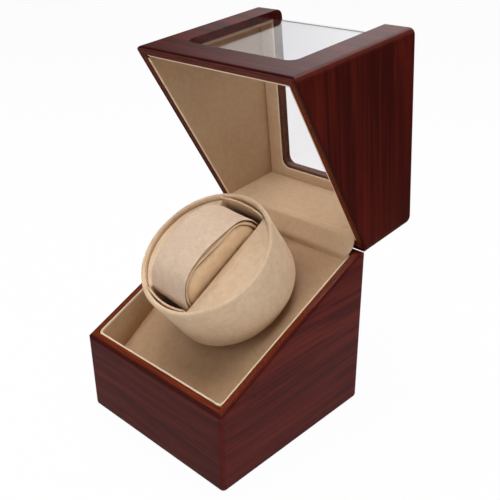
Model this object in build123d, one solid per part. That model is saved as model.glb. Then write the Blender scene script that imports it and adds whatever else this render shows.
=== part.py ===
from build123d import *
import os
from math import acos, cos, degrees, hypot, pi, radians, sin, sqrt, tan

# Single watch winder: a wooden case with a slanted lid, a turning drum and its gear drive.
# Millimetres. The origin is the centre of the footprint on the underside, +Z is up and the
# front faces -Y. Every piece is drawn where it stands with the lid open on its stop.

# Case
case_width = 125.0
case_depth = 128.4
case_height = 164.8
side_board = 5.5
front_board = 5.1
rear_board = 8.0
top_board = 5.3
edge_round = 3.0
crown_round = 5.0
foot_round = 3.2
foot_gap = 0.5

# Slanted seam between base and lid, with a level stretch over the rear board
seam_front_height = 55.5
seam_rear_height = 112.0
seam_level = 6.1
seam_gap = 0.3
seam_round = 3.0
seam_arris = 1.8

# Lid hinge
open_angle = 83.6
hinge_inset = 1.6
hinge_rise = 0.4
hinge_spread = 34.0
hinge_length = 22.0
hinge_leaf = 1.0
hinge_leaf_width = 4.5
hinge_barrel_radius = 1.9
hinge_pin_radius = 0.8
hinge_knuckle_gap = 0.25
hinge_screw_spacing = 12.0
hinge_screw_radius = 0.6
hinge_screw_head = 1.0
hinge_screw_length = 5.5

# Floor of the case
bottom_board = 5.0
felt_thickness = 1.2
corner_block_side = 10.0
corner_block_height = 14.0
bottom_screw_radius = 1.5
bottom_screw_head = 2.8
bottom_screw_length = 15.0

# Cloth-covered lining panels
liner = 1.8
pane_thickness = 2.0
front_liner_step = 12.5
front_liner_chamfer = 3.0
cloth_thickness = 1.2

# Window that wraps over the front top edge of the lid
stile_width = 19.6
front_rail = 22.0
rear_rail = 17.7
window_round = 6.0
lining_reveal = 5.6
lining_round = 6.0

# Sloping deck
deck_slope = 35.1
deck_front_height = 27.1
deck_thickness = 3.5
cleat_width = 6.0
cleat_depth = 6.0
cleat_margin = 9.0

# Drum, measured along its axis from the deck
drum_axis_y = 13.8
drum_rim_radius = 44.5
drum_back_radius = 43.4
drum_depth = 42.6
drum_standoff = 8.1
drum_wall = 3.0
drum_floor = 3.0
drum_back_round = 1.5
slot_turn = 4.8
slot_width = 36.4
block_recess = 2.0
block_round = 1.2
block_gap = 0.3
slot_liner_thickness = 1.2
slot_liner_recess = 1.2

# Watch pillow
pillow_width = 34.0
pillow_length = 68.0
pillow_height = 46.0
pillow_crown = 14.6
pillow_end_radius = 21.0
pillow_edge_round = 2.0
strip_thickness = 1.4
panel_thickness = 1.6
panel_margin = 4.2
panel_groove = 1.0

# Hub and shaft
hub_radius = 14.0
hub_flange = 3.0
hub_boss_radius = 7.0
hub_deck_gap = 2.0
shaft_radius = 3.0
shaft_tail = 2.0
bush_radius = 5.0
bush_flange_radius = 7.0
bush_flange = 1.5

# Gear train
gear_module = 0.8
pressure_angle = 25.0
addendum = 0.85
dedendum = 1.15
backlash = 0.18
flank_steps = 3
drum_teeth = 48
idler_large_teeth = 36
idler_small_teeth = 12
pinion_teeth = 12
gear_face = 5.0
gear_spacing = 1.0
idler_direction = 0.0
pinion_direction = -60.0
idler_axle_radius = 1.5
idler_collar_radius = 3.0

# Gear plate and motor
plate_thickness = 1.5
plate_round = 4.0
plate_border = 4.0
plate_left = -24.0
plate_margin = 4.0
plate_low = -30.0
plate_high = 24.0
standoff_radius = 3.0
plate_screw_radius = 1.5
plate_screw_head = 2.7
plate_screw_head_height = 1.8
plate_screw_length = 7.0
gearbox_radius = 12.5
gearbox_length = 18.0
gearbox_round = 1.0
motor_radius = 11.8
motor_length = 24.0
motor_round = 1.5
motor_shaft_radius = 2.0
motor_boss_radius = 3.6
motor_screw_spacing = 17.0
motor_screw_radius = 1.2
motor_screw_head = 2.2
motor_screw_length = 5.0

# Rear controls
control_height = 28.0
control_plate_width = 58.0
control_plate_height = 24.0
control_plate_thickness = 2.0
control_plate_round = 2.0
cutout_width = 46.0
cutout_height = 16.0
control_screw_spacing = 51.5
control_screw_radius = 1.1
control_screw_head = 2.0
control_screw_length = 7.0
control_depth = 12.0
jack_place = -15.0
jack_nose_radius = 4.0
jack_body_side = 9.6
jack_bore_radius = 2.85
jack_bore_depth = 9.5
jack_pin_radius = 1.0
rocker_length = 10.2
rocker_width = 6.0
rocker_rise = 1.9
rocker_dip = 1.0
rocker_pivot_depth = 2.0
rocker_pin_radius = 0.7
rocker_tilt = 10.0
rocker_wall = 1.1
rocker_flange = 1.0
slider_place = 15.0
slider_length = 2.8
slider_width = 2.6
slider_rise = 1.6
slider_travel = 6.0
slider_depth = 3.0
slider_body_length = 13.0
slider_body_width = 7.0
board_thickness = 1.6
board_width = 44.0
board_height = 18.0
chip_side = 8.0
chip_thickness = 1.6

# Driver slot of the flat-headed screws, as a share of the head's radius
driver_slot = 0.25

# Clearances
fit_gap = 0.1
soft_gap = 0.3
running_gap = 0.05
beyond = 40.0

# Values that follow from the sizes above
half_width = case_width / 2
half_depth = case_depth / 2
inner_x = half_width - side_board
inner_front = -half_depth + front_board
inner_rear = half_depth - rear_board
inner_top = case_height - top_board
lined_x = inner_x - liner
lid_ceiling = inner_top - pane_thickness - fit_gap
lid_face = inner_front + pane_thickness + fit_gap
slope_rise = (seam_rear_height - seam_front_height) / (case_depth - seam_level)
slope_length = sqrt(1 + slope_rise**2)
level_start = half_depth - seam_level
hinge_y = half_depth - hinge_inset
hinge_z = seam_rear_height + hinge_rise
floor_top = felt_thickness + bottom_board
deck_rise = tan(radians(deck_slope))
deck_height = deck_front_height - deck_rise * inner_front
deck_drop = deck_thickness / cos(radians(deck_slope))
drum_axis_z = deck_height + deck_rise * drum_axis_y
rim_height = drum_standoff + drum_depth
cup_radius = drum_rim_radius - drum_wall
cup_floor = drum_floor - drum_depth
pillow_centre = pillow_crown - pillow_height / 2
small_gear_base = -deck_thickness - bush_flange - gear_spacing - gear_face
large_gear_base = small_gear_base - gear_spacing - gear_face
plate_top = large_gear_base - gear_spacing
plate_right = inner_x - cleat_width - plate_margin - standoff_radius
idler_distance = gear_module * (drum_teeth + idler_small_teeth) / 2
pinion_distance = gear_module * (idler_large_teeth + pinion_teeth) / 2

open_lid = Pos(0, hinge_y, hinge_z) * Rot(-open_angle, 0, 0) * Pos(0, -hinge_y, -hinge_z)
deck_frame = Pos(0, drum_axis_y, drum_axis_z) * Rot(deck_slope, 0, 0)
drum_frame = deck_frame * Pos(0, 0, rim_height) * Rot(0, 0, -slot_turn)
control_frame = Pos(0, half_depth, control_height) * Rot(-90, 0, 0)


def turned(radius, angle):
    """Point at a distance and an angle in degrees from the origin of a plane."""
    return radius * cos(radians(angle)), radius * sin(radians(angle))


idler_place = turned(idler_distance, idler_direction)
pinion_offset = turned(pinion_distance, pinion_direction)
motor_place = (idler_place[0] + pinion_offset[0], idler_place[1] + pinion_offset[1])


# Building blocks


def block(x, y, z):
    """Box between low and high places along each axis."""
    spans = [high - low for low, high in (x, y, z)]
    middles = [(high + low) / 2 for low, high in (x, y, z)]
    return Pos(*middles) * Box(*spans)


def bar(face, x):
    """Solid of a side-view outline in Y and Z, from one X to another."""
    return extrude(Plane.YZ.offset(x[0]) * face, x[1] - x[0], dir=(1, 0, 0))


def disc(radius, z):
    """Upright cylinder between two heights."""
    return Pos(0, 0, (z[0] + z[1]) / 2) * Cylinder(radius, z[1] - z[0])


def across(radius, x, y, z):
    """Cylinder along X at a place in Y and Z."""
    return Pos((x[0] + x[1]) / 2, y, z) * Rot(0, 90, 0) * Cylinder(radius, x[1] - x[0])


def mirrored(shape):
    """The shape and its mirror image across the middle of the case."""
    return shape + mirror(shape, Plane.YZ)


def countersunk_screw(radius, head, length):
    """Screw along -Z whose flat head ends at z = 0, with a straight slot."""
    sink = head - radius
    shank = disc(radius, (-length, -sink))
    cone = Pos(0, 0, -sink / 2) * Cone(radius, head, sink)
    return shank + cone - Box(2 * head, driver_slot * head, sink)


def countersunk_hole(radius, head, length):
    """Room for a countersunk screw, open above its head."""
    sink = head - radius
    shank = disc(radius + running_gap, (-length, 0))
    cone = Pos(0, 0, -sink / 2) * Cone(radius + running_gap, head + running_gap, sink)
    return shank + cone + disc(head + running_gap, (0, beyond))


def pan_screw(radius, head, head_height, length):
    """Screw along -Z whose round head stands on z = 0."""
    return disc(radius, (-length, 0)) + disc(head, (0, head_height))


def at_corners(x, y, shape, z=0.0):
    """A shape at the four corners of a rectangle."""
    return sum((Pos(i, j, z) * shape for i in x for j in y), Part())


# Case shell


def seam_height(y, gap):
    """Height of the seam at a depth, raised square to its slope by a gap."""
    slope = seam_front_height + (y + half_depth) * slope_rise + gap * slope_length
    return min(slope, seam_rear_height + gap)


def seam_corner(gap):
    """Depth where the seam turns from its slope to its level stretch."""
    return level_start - gap * (slope_length - 1) / slope_rise


def under_seam():
    """Everything below the seam, with the rear edge rounded."""
    start = -half_depth - beyond
    outline = Polygon(
        (start, -beyond),
        (half_depth, -beyond),
        (half_depth, seam_rear_height),
        (level_start, seam_rear_height),
        (start, seam_height(start, 0)),
    )
    corner = outline.vertices().sort_by_distance((half_depth, seam_rear_height))[0]
    return bar(fillet(corner, seam_round), (-case_width, case_width))


def over_seam():
    """Everything above the seam and its gap, with the rear edge rounded."""
    start = -half_depth - beyond
    low = seam_rear_height + seam_gap
    outline = Polygon(
        (start, seam_height(start, seam_gap)),
        (seam_corner(seam_gap), low),
        (half_depth, low),
        (half_depth, case_height + beyond),
        (start, case_height + beyond),
    )
    corner = outline.vertices().sort_by_distance((half_depth, low))[0]
    return bar(fillet(corner, seam_round), (-case_width, case_width))


def eased_corner(corner, first, second):
    """Outline that is cut away to round a corner between two directions."""
    corner, first, second = Vector(*corner), Vector(*first), Vector(*second)
    half_angle = radians(first.get_angle(second)) / 2
    reach = seam_arris / tan(half_angle)
    centre = corner + (first + second).normalized() * (seam_arris / sin(half_angle))
    points = (corner - first - second, corner + first * reach, centre, corner + second * reach)
    outline = Polygon(*((point.X, point.Y) for point in points), align=None)
    return outline - Pos(centre.X, centre.Y) * Circle(seam_arris)


def seam_arrises(gap, direction):
    """Cuts that round the outer edges of the seam, under it for the base, over it for the lid."""
    front = seam_height(-half_depth, gap)
    slope = (1 / slope_length, slope_rise / slope_length)
    face = eased_corner((-half_depth, front), slope, (0, direction))
    cuts = bar(face, (-half_width, half_width))
    edge = eased_corner((half_width, 0), (-1, 0), (0, direction))
    start = (0, -half_depth, front)
    length = (seam_corner(gap) + half_depth) * slope_length
    sloped = Plane(origin=start, x_dir=(1, 0, 0), z_dir=(0, -slope[0], -slope[1]))
    level = Plane(origin=(0, seam_corner(gap), seam_rear_height + gap), x_dir=(1, 0, 0), z_dir=(0, -1, 0))
    cuts += mirrored(extrude(sloped * edge, -length))
    return cuts + mirrored(extrude(level * edge, -seam_level))


def rounded_case():
    """Closed case as one solid block with its outer edges rounded."""
    height = case_height - foot_gap
    outline = Pos(0, foot_gap + height / 2) * Rectangle(case_depth, height)
    outline = fillet(outline.vertices().group_by(Axis.Y)[-1], crown_round)
    outline = fillet(outline.vertices().group_by(Axis.Y)[0], foot_round)
    whole = bar(outline, (-half_width, half_width))
    ends = whole.faces().group_by(Axis.X)
    return fillet(ends[0].edges() + ends[-1].edges(), edge_round)


def mitred_board(outer, inner):
    """Board between an outer and an inner rectangle, each given by two corners."""
    points = []
    for low, high in (outer, inner):
        spans = [sorted({a, b}) for a, b in zip(low, high)]
        points += [(x, y, z) for x in spans[0] for y in spans[1] for z in spans[2]]
    return ConvexPolyhedron(points)


def board_block(side):
    """One mitred wall of the closed case, before its edges are rounded."""
    foot = foot_gap
    crown = case_height
    if side == "left":
        outer = ((-half_width, -half_depth, foot), (-half_width, half_depth, crown))
        inner = ((-inner_x, inner_front, foot), (-inner_x, inner_rear, inner_top))
    elif side == "right":
        outer = ((half_width, -half_depth, foot), (half_width, half_depth, crown))
        inner = ((inner_x, inner_front, foot), (inner_x, inner_rear, inner_top))
    elif side == "front":
        outer = ((-half_width, -half_depth, foot), (half_width, -half_depth, crown))
        inner = ((-inner_x, inner_front, foot), (inner_x, inner_front, inner_top))
    elif side == "rear":
        outer = ((-half_width, half_depth, foot), (half_width, half_depth, crown))
        inner = ((-inner_x, inner_rear, foot), (inner_x, inner_rear, inner_top))
    else:
        outer = ((-half_width, -half_depth, crown), (half_width, half_depth, crown))
        inner = ((-inner_x, inner_front, inner_top), (inner_x, inner_rear, inner_top))
    return mitred_board(outer, inner)


def window_cutter(reveal, radius, depth):
    """Room of the wrapped window: one opening in the front and one in the top."""
    half_opening = half_width - stile_width - reveal
    sill = seam_front_height + front_rail - reveal
    rear = half_depth - rear_rail - reveal
    front_face = Pos(0, (sill + case_height + beyond) / 2) * Rectangle(
        2 * half_opening, case_height + beyond - sill
    )
    front_face = fillet(front_face.vertices().group_by(Axis.Y)[0], radius)
    front_plane = Plane.XZ.offset(half_depth + beyond)
    front = extrude(front_plane * front_face, depth + beyond, dir=(0, 1, 0))
    top_face = Pos(0, (rear - half_depth - beyond) / 2) * Rectangle(
        2 * half_opening, rear + half_depth + beyond
    )
    top_face = fillet(top_face.vertices().group_by(Axis.Y)[-1], radius)
    top_plane = Plane.XY.offset(case_height + beyond)
    top = extrude(top_plane * top_face, depth + beyond, dir=(0, 0, -1))
    return front, top


def hinge_pockets(level, direction):
    """Room for the two hinges in a rear board whose seam is at a level."""
    half_leaf = hinge_length / 2 + fit_gap
    rooms = Part()
    for x in (-hinge_spread, hinge_spread):
        span = (x - half_leaf, x + half_leaf)
        heights = sorted((level - direction * hinge_leaf, level + direction * beyond))
        rooms += block(span, (hinge_y - hinge_leaf_width - fit_gap, half_depth + beyond), heights)
        rooms += across(hinge_barrel_radius + soft_gap, span, hinge_y, hinge_z)
    return rooms


def hinge_screw_places():
    """Places of the hinge screws in X."""
    half_spacing = hinge_screw_spacing / 2
    return [x + i for x in (-hinge_spread, hinge_spread) for i in (-half_spacing, half_spacing)]


def hinge_screw_row(shape, level, direction):
    """A screw or its room at every hinge screw, its head at the leaf's open face."""
    turn = Rot(0, 0, 0) if direction > 0 else Rot(180, 0, 0)
    y = hinge_y - (hinge_leaf_width + hinge_barrel_radius + hinge_knuckle_gap) / 2
    return sum((Pos(x, y, level) * turn * shape for x in hinge_screw_places()), Part())


def hinge_screw():
    """Small countersunk wood screw."""
    return countersunk_screw(hinge_screw_radius, hinge_screw_head, hinge_screw_length)


def hinge_screw_room():
    """Hole of a hinge screw in leaf and wood."""
    return countersunk_hole(hinge_screw_radius, hinge_screw_head, hinge_screw_length + fit_gap)


def knuckle_spans(x):
    """The three knuckles of a hinge along X, from left to right."""
    pitch = (hinge_length + hinge_knuckle_gap) / 3
    starts = [x - hinge_length / 2 + i * pitch for i in range(3)]
    return [(start, start + pitch - hinge_knuckle_gap) for start in starts]


def hinge_leaves(level, direction, own, others):
    """One leaf of each hinge, with its own knuckles and room for the others."""
    leaves = Part()
    for x in (-hinge_spread, hinge_spread):
        spans = knuckle_spans(x)
        flats = sorted((level, level - direction * hinge_leaf))
        half_leaf = hinge_length / 2
        leaf = block((x - half_leaf, x + half_leaf), (hinge_y - hinge_leaf_width, hinge_y), flats)
        for i in others:
            room = (spans[i][0] - hinge_knuckle_gap, spans[i][1] + hinge_knuckle_gap)
            leaf -= across(hinge_barrel_radius + hinge_knuckle_gap, room, hinge_y, hinge_z)
        for i in own:
            leaf += across(hinge_barrel_radius, spans[i], hinge_y, hinge_z)
        pin_room = hinge_pin_radius + running_gap
        leaf -= across(pin_room, (x - hinge_length, x + hinge_length), hinge_y, hinge_z)
        leaves += leaf
    return leaves - hinge_screw_row(hinge_screw_room(), level, direction)


def hinge_pins():
    """The two hinge pins, held in the outer knuckles."""
    spans = [(x - hinge_length / 2, x + hinge_length / 2) for x in (-hinge_spread, hinge_spread)]
    return sum((across(hinge_pin_radius, span, hinge_y, hinge_z) for span in spans), Part())


# Base


def base_board(side):
    """One wall of the base."""
    return (rounded_case() & board_block(side) & under_seam()) - seam_arrises(0, -1)


def control_room():
    """Recess for the control plate and the cut-out behind it."""
    recess = RectangleRounded(
        control_plate_width + 2 * fit_gap, control_plate_height + 2 * fit_gap, control_plate_round
    )
    pocket = extrude(recess, -control_plate_thickness) + extrude(recess, beyond)
    opening = Box(cutout_width, cutout_height, 2 * beyond)
    screw_room = disc(control_screw_radius + running_gap, (-control_screw_length - fit_gap, 0))
    holes = control_screw_places(screw_room)
    return control_frame * (pocket + opening + holes)


def base_rear():
    """Rear wall of the base, with the hinge pockets and the room for the controls."""
    board = base_board("rear") - control_room() - hinge_pockets(seam_rear_height, 1)
    return board - hinge_screw_row(hinge_screw_room(), seam_rear_height, 1)


def bottom_screw_places(shape, z):
    """A shape at each of the four bottom screws."""
    inset = corner_block_side / 2 + fit_gap
    depths = (inner_front + inset, inner_rear - inset)
    return at_corners((-inner_x + inset, inner_x - inset), depths, shape, z)


def bottom_screws():
    """Four countersunk screws that hold the bottom board, driven from below."""
    screw = countersunk_screw(bottom_screw_radius, bottom_screw_head, bottom_screw_length)
    return bottom_screw_places(Rot(180, 0, 0) * screw, felt_thickness)


def bottom_screw_rooms():
    """Holes of the bottom screws."""
    hole = countersunk_hole(bottom_screw_radius, bottom_screw_head, bottom_screw_length + fit_gap)
    return bottom_screw_places(Rot(180, 0, 0) * hole, felt_thickness)


def bottom():
    """Bottom board, set in between the four walls."""
    x = inner_x - fit_gap
    y = (inner_front + fit_gap, inner_rear - fit_gap)
    return block((-x, x), y, (felt_thickness, floor_top)) - bottom_screw_rooms()


def corner_blocks():
    """Glue blocks in the four corners that take the bottom screws."""
    height = corner_block_height
    cube = Box(corner_block_side, corner_block_side, height)
    blocks = bottom_screw_places(cube, floor_top + height / 2)
    return blocks - bottom_screw_rooms()


def felt():
    """Felt sheet under the bottom board, on which the case stands."""
    x = inner_x - fit_gap
    y = (inner_front + fit_gap, inner_rear - fit_gap)
    return block((-x, x), y, (0, felt_thickness))


def deck_line(y, drop=0.0):
    """Height of the deck's top at a depth, less a drop."""
    return deck_height + deck_rise * y - drop


def deck_strip(y, top, depth, x):
    """Bar that runs parallel to the deck, a drop below its top."""
    outline = Polygon(
        (y[0], deck_line(y[0], top + depth)),
        (y[1], deck_line(y[1], top + depth)),
        (y[1], deck_line(y[1], top)),
        (y[0], deck_line(y[0], top)),
    )
    return bar(outline, x)


def deck():
    """Sloping panel over the drive, with the seat of the upper shaft bush."""
    x = inner_x - fit_gap
    y = (inner_front + fit_gap, inner_rear - fit_gap)
    hole = disc(bush_radius + running_gap, (-beyond / 2, beyond / 2))
    return deck_strip(y, 0, deck_drop, (-x, x)) - deck_frame * hole


def cleats():
    """Two strips on the side walls that carry the deck."""
    y = (inner_front + cleat_margin, inner_rear - cleat_margin)
    depth = cleat_depth / cos(radians(deck_slope))
    return mirrored(deck_strip(y, deck_drop, depth, (inner_x - cleat_width, inner_x)))


def base_side_liners():
    """Lining of the base's side walls, from the deck up to the seam."""
    y = (inner_front, inner_rear)
    outline = Polygon(
        (y[0], deck_line(y[0]) + fit_gap),
        (y[1], deck_line(y[1]) + fit_gap),
        (y[1], seam_height(y[1], 0)),
        (y[0], seam_height(y[0], 0)),
    )
    return mirrored(bar(outline, (lined_x, inner_x)))


def base_cross_liner(y):
    """Lining panel of the base between the side liners."""
    outline = Polygon(
        (y[0], deck_line(y[0]) + fit_gap),
        (y[1], deck_line(y[1]) + fit_gap),
        (y[1], seam_height(y[1], 0)),
        (y[0], seam_height(y[0], 0)),
    )
    x = lined_x - fit_gap
    return bar(outline, (-x, x))


def opened(y, lift):
    """Place in Y and Z of a point a little under the lid's seam, with the lid open."""
    place = (open_lid * Pos(0, y, seam_height(y, seam_gap) - lift)).position
    return place.Y, place.Z


def hinge_cloth():
    """Cloth that covers the hinge gap from the base's lining to the lid's."""
    near = inner_rear - liner + fit_gap
    far = near + cloth_thickness
    outline = Polygon(
        (near, seam_height(near, 0) + soft_gap),
        (far, seam_height(far, 0) + soft_gap),
        opened(far, soft_gap),
        opened(near, soft_gap),
    )
    x = lined_x - fit_gap
    return bar(outline, (-x, x))


# Lid, drawn closed and then opened


def lid_board(side):
    """One plain wall of the lid."""
    return (rounded_case() & board_block(side) & over_seam()) - seam_arrises(seam_gap, 1)


def lid_front():
    """Front wall of the lid: two stiles and a rail, open at the top."""
    return lid_board("front") - window_cutter(0, window_round, front_board + fit_gap)[0]


def lid_top():
    """Top of the lid: two stiles and a rear rail, open at the front."""
    return lid_board("top") - window_cutter(0, window_round, top_board + fit_gap)[1]


def lid_rear():
    """Rear wall of the lid, with the hinge pockets."""
    level = seam_rear_height + seam_gap
    board = lid_board("rear") - hinge_pockets(level, -1)
    return board - hinge_screw_row(hinge_screw_room(), level, -1)


def front_pane():
    """Clear sheet behind the front wall of the lid."""
    x = inner_x - fit_gap
    y = (inner_front + fit_gap, inner_front + pane_thickness)
    sill = seam_front_height + front_liner_step + fit_gap
    return block((-x, x), y, (sill, inner_top - pane_thickness - fit_gap))


def top_pane():
    """Clear sheet under the top of the lid, over the front sheet's edge."""
    x = inner_x - fit_gap
    y = (inner_front + fit_gap, inner_rear - fit_gap)
    return block((-x, x), y, (inner_top - pane_thickness, inner_top - fit_gap))


def lid_front_liner():
    """Lining of the lid's front, thin at the seam and stepped behind the pane."""
    step = seam_front_height + front_liner_step
    shoulder = inner_front + liner
    inside = lid_face + liner
    outline = Polygon(
        (inner_front, seam_height(inner_front, seam_gap)),
        (shoulder, seam_height(shoulder, seam_gap)),
        (shoulder, seam_height(shoulder, seam_gap) + front_liner_chamfer),
        (inside, seam_height(shoulder, seam_gap) + 2 * front_liner_chamfer),
        (inside, lid_ceiling),
        (lid_face, lid_ceiling),
        (lid_face, step),
        (inner_front, step),
    )
    x = lined_x - fit_gap
    depth = front_board + pane_thickness + 2 * liner
    return bar(outline, (-x, x)) - window_cutter(lining_reveal, lining_round, depth)[0]


def lid_top_liner():
    """Lining of the lid's ceiling, round the window."""
    x = lined_x - fit_gap
    y = (lid_face + liner + fit_gap, inner_rear)
    panel = block((-x, x), y, (lid_ceiling - liner, lid_ceiling))
    depth = top_board + pane_thickness + 2 * liner
    return panel - window_cutter(lining_reveal, lining_round, depth)[1]


def lid_rear_liner():
    """Lining of the lid's rear wall, the floor of the lid when it stands open."""
    x = lined_x - fit_gap
    face = inner_rear - liner
    top = lid_ceiling - liner - fit_gap
    outline = Polygon(
        (face, seam_height(face, seam_gap)),
        (inner_rear, seam_height(inner_rear, seam_gap)),
        (inner_rear, top),
        (face, top),
    )
    return bar(outline, (-x, x))


def lid_side_liners():
    """Lining of the lid's side walls."""
    outline = Polygon(
        (lid_face, seam_height(lid_face, seam_gap)),
        (inner_rear, seam_height(inner_rear, seam_gap)),
        (inner_rear, lid_ceiling),
        (lid_face, lid_ceiling),
    )
    return mirrored(bar(outline, (lined_x, inner_x)))


# Drum and pillow, drawn about the drum's axis with the rim at z = 0


def cup():
    """Turned cup with a rolled rim, a slight taper and a bore for the hub."""
    lip = drum_wall / 2
    outer = Line((drum_rim_radius, -lip), (drum_back_radius, drum_back_round - drum_depth))
    corner = RadiusArc(
        outer @ 1, (drum_back_radius - drum_back_round, -drum_depth), drum_back_round
    )
    bottom = Polyline(
        corner @ 1, (hub_boss_radius + fit_gap, -drum_depth), (hub_boss_radius + fit_gap, cup_floor)
    )
    inside = Polyline(bottom @ 1, (cup_radius, cup_floor), (cup_radius, -lip))
    rim = RadiusArc(inside @ 1, outer @ 0, lip)
    outline = make_face([outer, corner, bottom, inside, rim])
    return revolve(Plane.XZ * outline, Axis.Z)


def slot_block(side):
    """Padded half moon beside the slot."""
    face = Circle(cup_radius - block_gap)
    keep = Pos(side * (slot_width / 2 + drum_rim_radius), 0) * Rectangle(
        2 * drum_rim_radius, 2 * drum_rim_radius
    )
    height = -block_recess - cup_floor - block_gap
    body = Pos(0, 0, cup_floor + block_gap) * extrude(face & keep, height)
    return fillet(body.faces().sort_by(Axis.Z)[-1].edges(), block_round)


def slot_liner():
    """Curved strips that line the cup at both ends of the slot."""
    outer = cup_radius - block_gap
    ring = Circle(outer) - Circle(outer - slot_liner_thickness)
    ends = ring & Rectangle(slot_width - 2 * block_gap, 2 * drum_rim_radius)
    height = -slot_liner_recess - cup_floor - block_gap
    return Pos(0, 0, cup_floor + block_gap) * extrude(ends, height)


def slot_cushion():
    """Foam pad in the bottom of the slot, under the pillow."""
    face = Circle(cup_radius - block_gap - slot_liner_thickness - block_gap)
    face &= Rectangle(slot_width - 2 * block_gap, 2 * drum_rim_radius)
    top = pillow_centre - pillow_height / 2 - soft_gap
    bottom = cup_floor + hub_flange + block_gap
    return Pos(0, 0, bottom) * extrude(face, top - bottom)


def hub():
    """Hub with a flange on the cup's floor and a boss towards the deck."""
    flange = disc(hub_radius, (cup_floor, cup_floor + hub_flange))
    boss = disc(hub_boss_radius, (hub_deck_gap - rim_height, cup_floor))
    bore = disc(shaft_radius, (-rim_height, cup_floor + hub_flange - shaft_tail))
    return flange + boss - bore


def oval(length, height):
    """Pillow outline of four tangent arcs, flatter on its long sides."""
    half_length = length / 2
    half_height = height / 2
    end = pillow_end_radius - (pillow_height - height) / 2
    run = half_length - end
    crown = (run**2 + half_height**2 - end**2) / (2 * (half_height - end))
    angle = acos((crown - half_height) / (crown - end))
    touch_x = run + end * sin(angle)
    touch_y = end * cos(angle)
    right = ThreePointArc((touch_x, -touch_y), (half_length, 0), (touch_x, touch_y))
    top = ThreePointArc((touch_x, touch_y), (0, half_height), (-touch_x, touch_y))
    left = ThreePointArc((-touch_x, touch_y), (-half_length, 0), (-touch_x, -touch_y))
    bottom = ThreePointArc((-touch_x, -touch_y), (0, -half_height), (touch_x, -touch_y))
    return make_face([right, top, left, bottom])


def pillow_slice(face, x):
    """Solid of a pillow outline, from one X to another."""
    return Pos(0, 0, pillow_centre) * bar(face, x)


def pillow_strip():
    """Cover strip that runs round the pillow's edge."""
    outer = oval(pillow_length, pillow_height)
    room = 2 * strip_thickness
    inner = oval(pillow_length - room, pillow_height - room)
    half = pillow_width / 2
    band = pillow_slice(outer, (-half, half))
    ends = band.faces().group_by(Axis.X)
    band = fillet(ends[0].edges() + ends[-1].edges(), strip_thickness / 2)
    return band - pillow_slice(inner, (-half, half))


def pillow_core():
    """Foam core of the pillow, crowned on its two ends."""
    room = 2 * (strip_thickness + soft_gap)
    half = pillow_width / 2 - panel_thickness - soft_gap - panel_groove
    return pillow_slice(oval(pillow_length - room, pillow_height - room), (-half, half))


def pillow_panels():
    """Oval end panels of the pillow, each on a welted band."""
    room = 2 * (strip_thickness + soft_gap)
    inset = room + 2 * panel_margin
    high = pillow_width / 2 - panel_groove
    low = high - panel_thickness
    band = pillow_slice(oval(pillow_length - room, pillow_height - room), (low, high))
    band = fillet(band.faces().sort_by(Axis.X)[-1].edges(), panel_thickness / 2)
    raised_face = oval(pillow_length - inset, pillow_height - inset)
    raised = pillow_slice(raised_face, (high, high + panel_groove))
    raised = fillet(raised.faces().sort_by(Axis.X)[-1].edges(), panel_groove / 2)
    return mirrored(band + raised)


# Drive, drawn about the drum's axis with the deck's top at z = 0


def involute(angle):
    """Involute function of a pressure angle in radians."""
    return tan(angle) - angle


def gear(teeth, bore, z, start):
    """Spur gear with involute flanks whose first tooth points at an angle in degrees."""
    pitch = gear_module * teeth / 2
    base = pitch * cos(radians(pressure_angle))
    root = pitch - dedendum * gear_module
    tip = pitch + addendum * gear_module
    half_tooth = pi / (2 * teeth) - backlash / (4 * pitch)
    low = max(base, root)
    flank = [low + (tip - low) * i / flank_steps for i in range(flank_steps + 1)]
    half_angles = [
        half_tooth + involute(radians(pressure_angle)) - involute(acos(base / r)) for r in flank
    ]
    rising = [(root, half_angles[0])] * (root < base) + list(zip(flank, half_angles))
    tooth = [(r, -a) for r, a in rising] + [(r, a) for r, a in reversed(rising)]
    points = []
    for i in range(teeth):
        centre = start + i * 360 / teeth
        points += [turned(r, centre + degrees(a)) for r, a in tooth]
    face = Polygon(*points) - Circle(bore)
    return Pos(0, 0, z[0]) * extrude(face, z[1] - z[0], dir=(0, 0, 1))


def meshed(teeth, start, other_teeth, direction):
    """Angle of the first tooth of a gear that meshes with one lying the other way."""
    return direction + 180 - ((start - direction) * teeth + 180) / other_teeth


idler_start = meshed(drum_teeth, 0.0, idler_small_teeth, idler_direction)
pinion_start = meshed(idler_large_teeth, 0.0, pinion_teeth, pinion_direction)
small_faces = (small_gear_base, small_gear_base + gear_face)
large_faces = (large_gear_base, large_gear_base + gear_face)


def drum_gear():
    """Large gear pressed on the drum's shaft."""
    return gear(drum_teeth, shaft_radius, small_faces, 0.0)


def idler_gear():
    """Compound idler: a small gear on a large one, with one bore."""
    bore = idler_axle_radius + running_gap
    small = gear(idler_small_teeth, bore, (large_faces[1], small_faces[1]), idler_start)
    large = gear(idler_large_teeth, bore, large_faces, 0.0)
    return Pos(*idler_place) * (small + large)


def motor_pinion():
    """Pinion and the output shaft that carries it out of the gearbox."""
    wheel = gear(pinion_teeth, motor_shaft_radius / 2, large_faces, pinion_start)
    shaft = disc(motor_shaft_radius, (plate_top - plate_thickness - fit_gap, large_faces[1]))
    return Pos(*motor_place) * (wheel + shaft)


def drum_shaft():
    """Shaft from the hub down through both bushes."""
    top = rim_height + cup_floor + hub_flange - shaft_tail
    return disc(shaft_radius, (plate_top - plate_thickness - shaft_tail, top))


def bush(flange_top, through):
    """Flanged bush whose flange hangs below a face and whose sleeve fills a hole."""
    sleeve = disc(bush_radius, (flange_top, flange_top + through))
    flange = disc(bush_flange_radius, (flange_top - bush_flange, flange_top))
    return sleeve + flange - disc(shaft_radius + running_gap, (-beyond, beyond))


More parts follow.
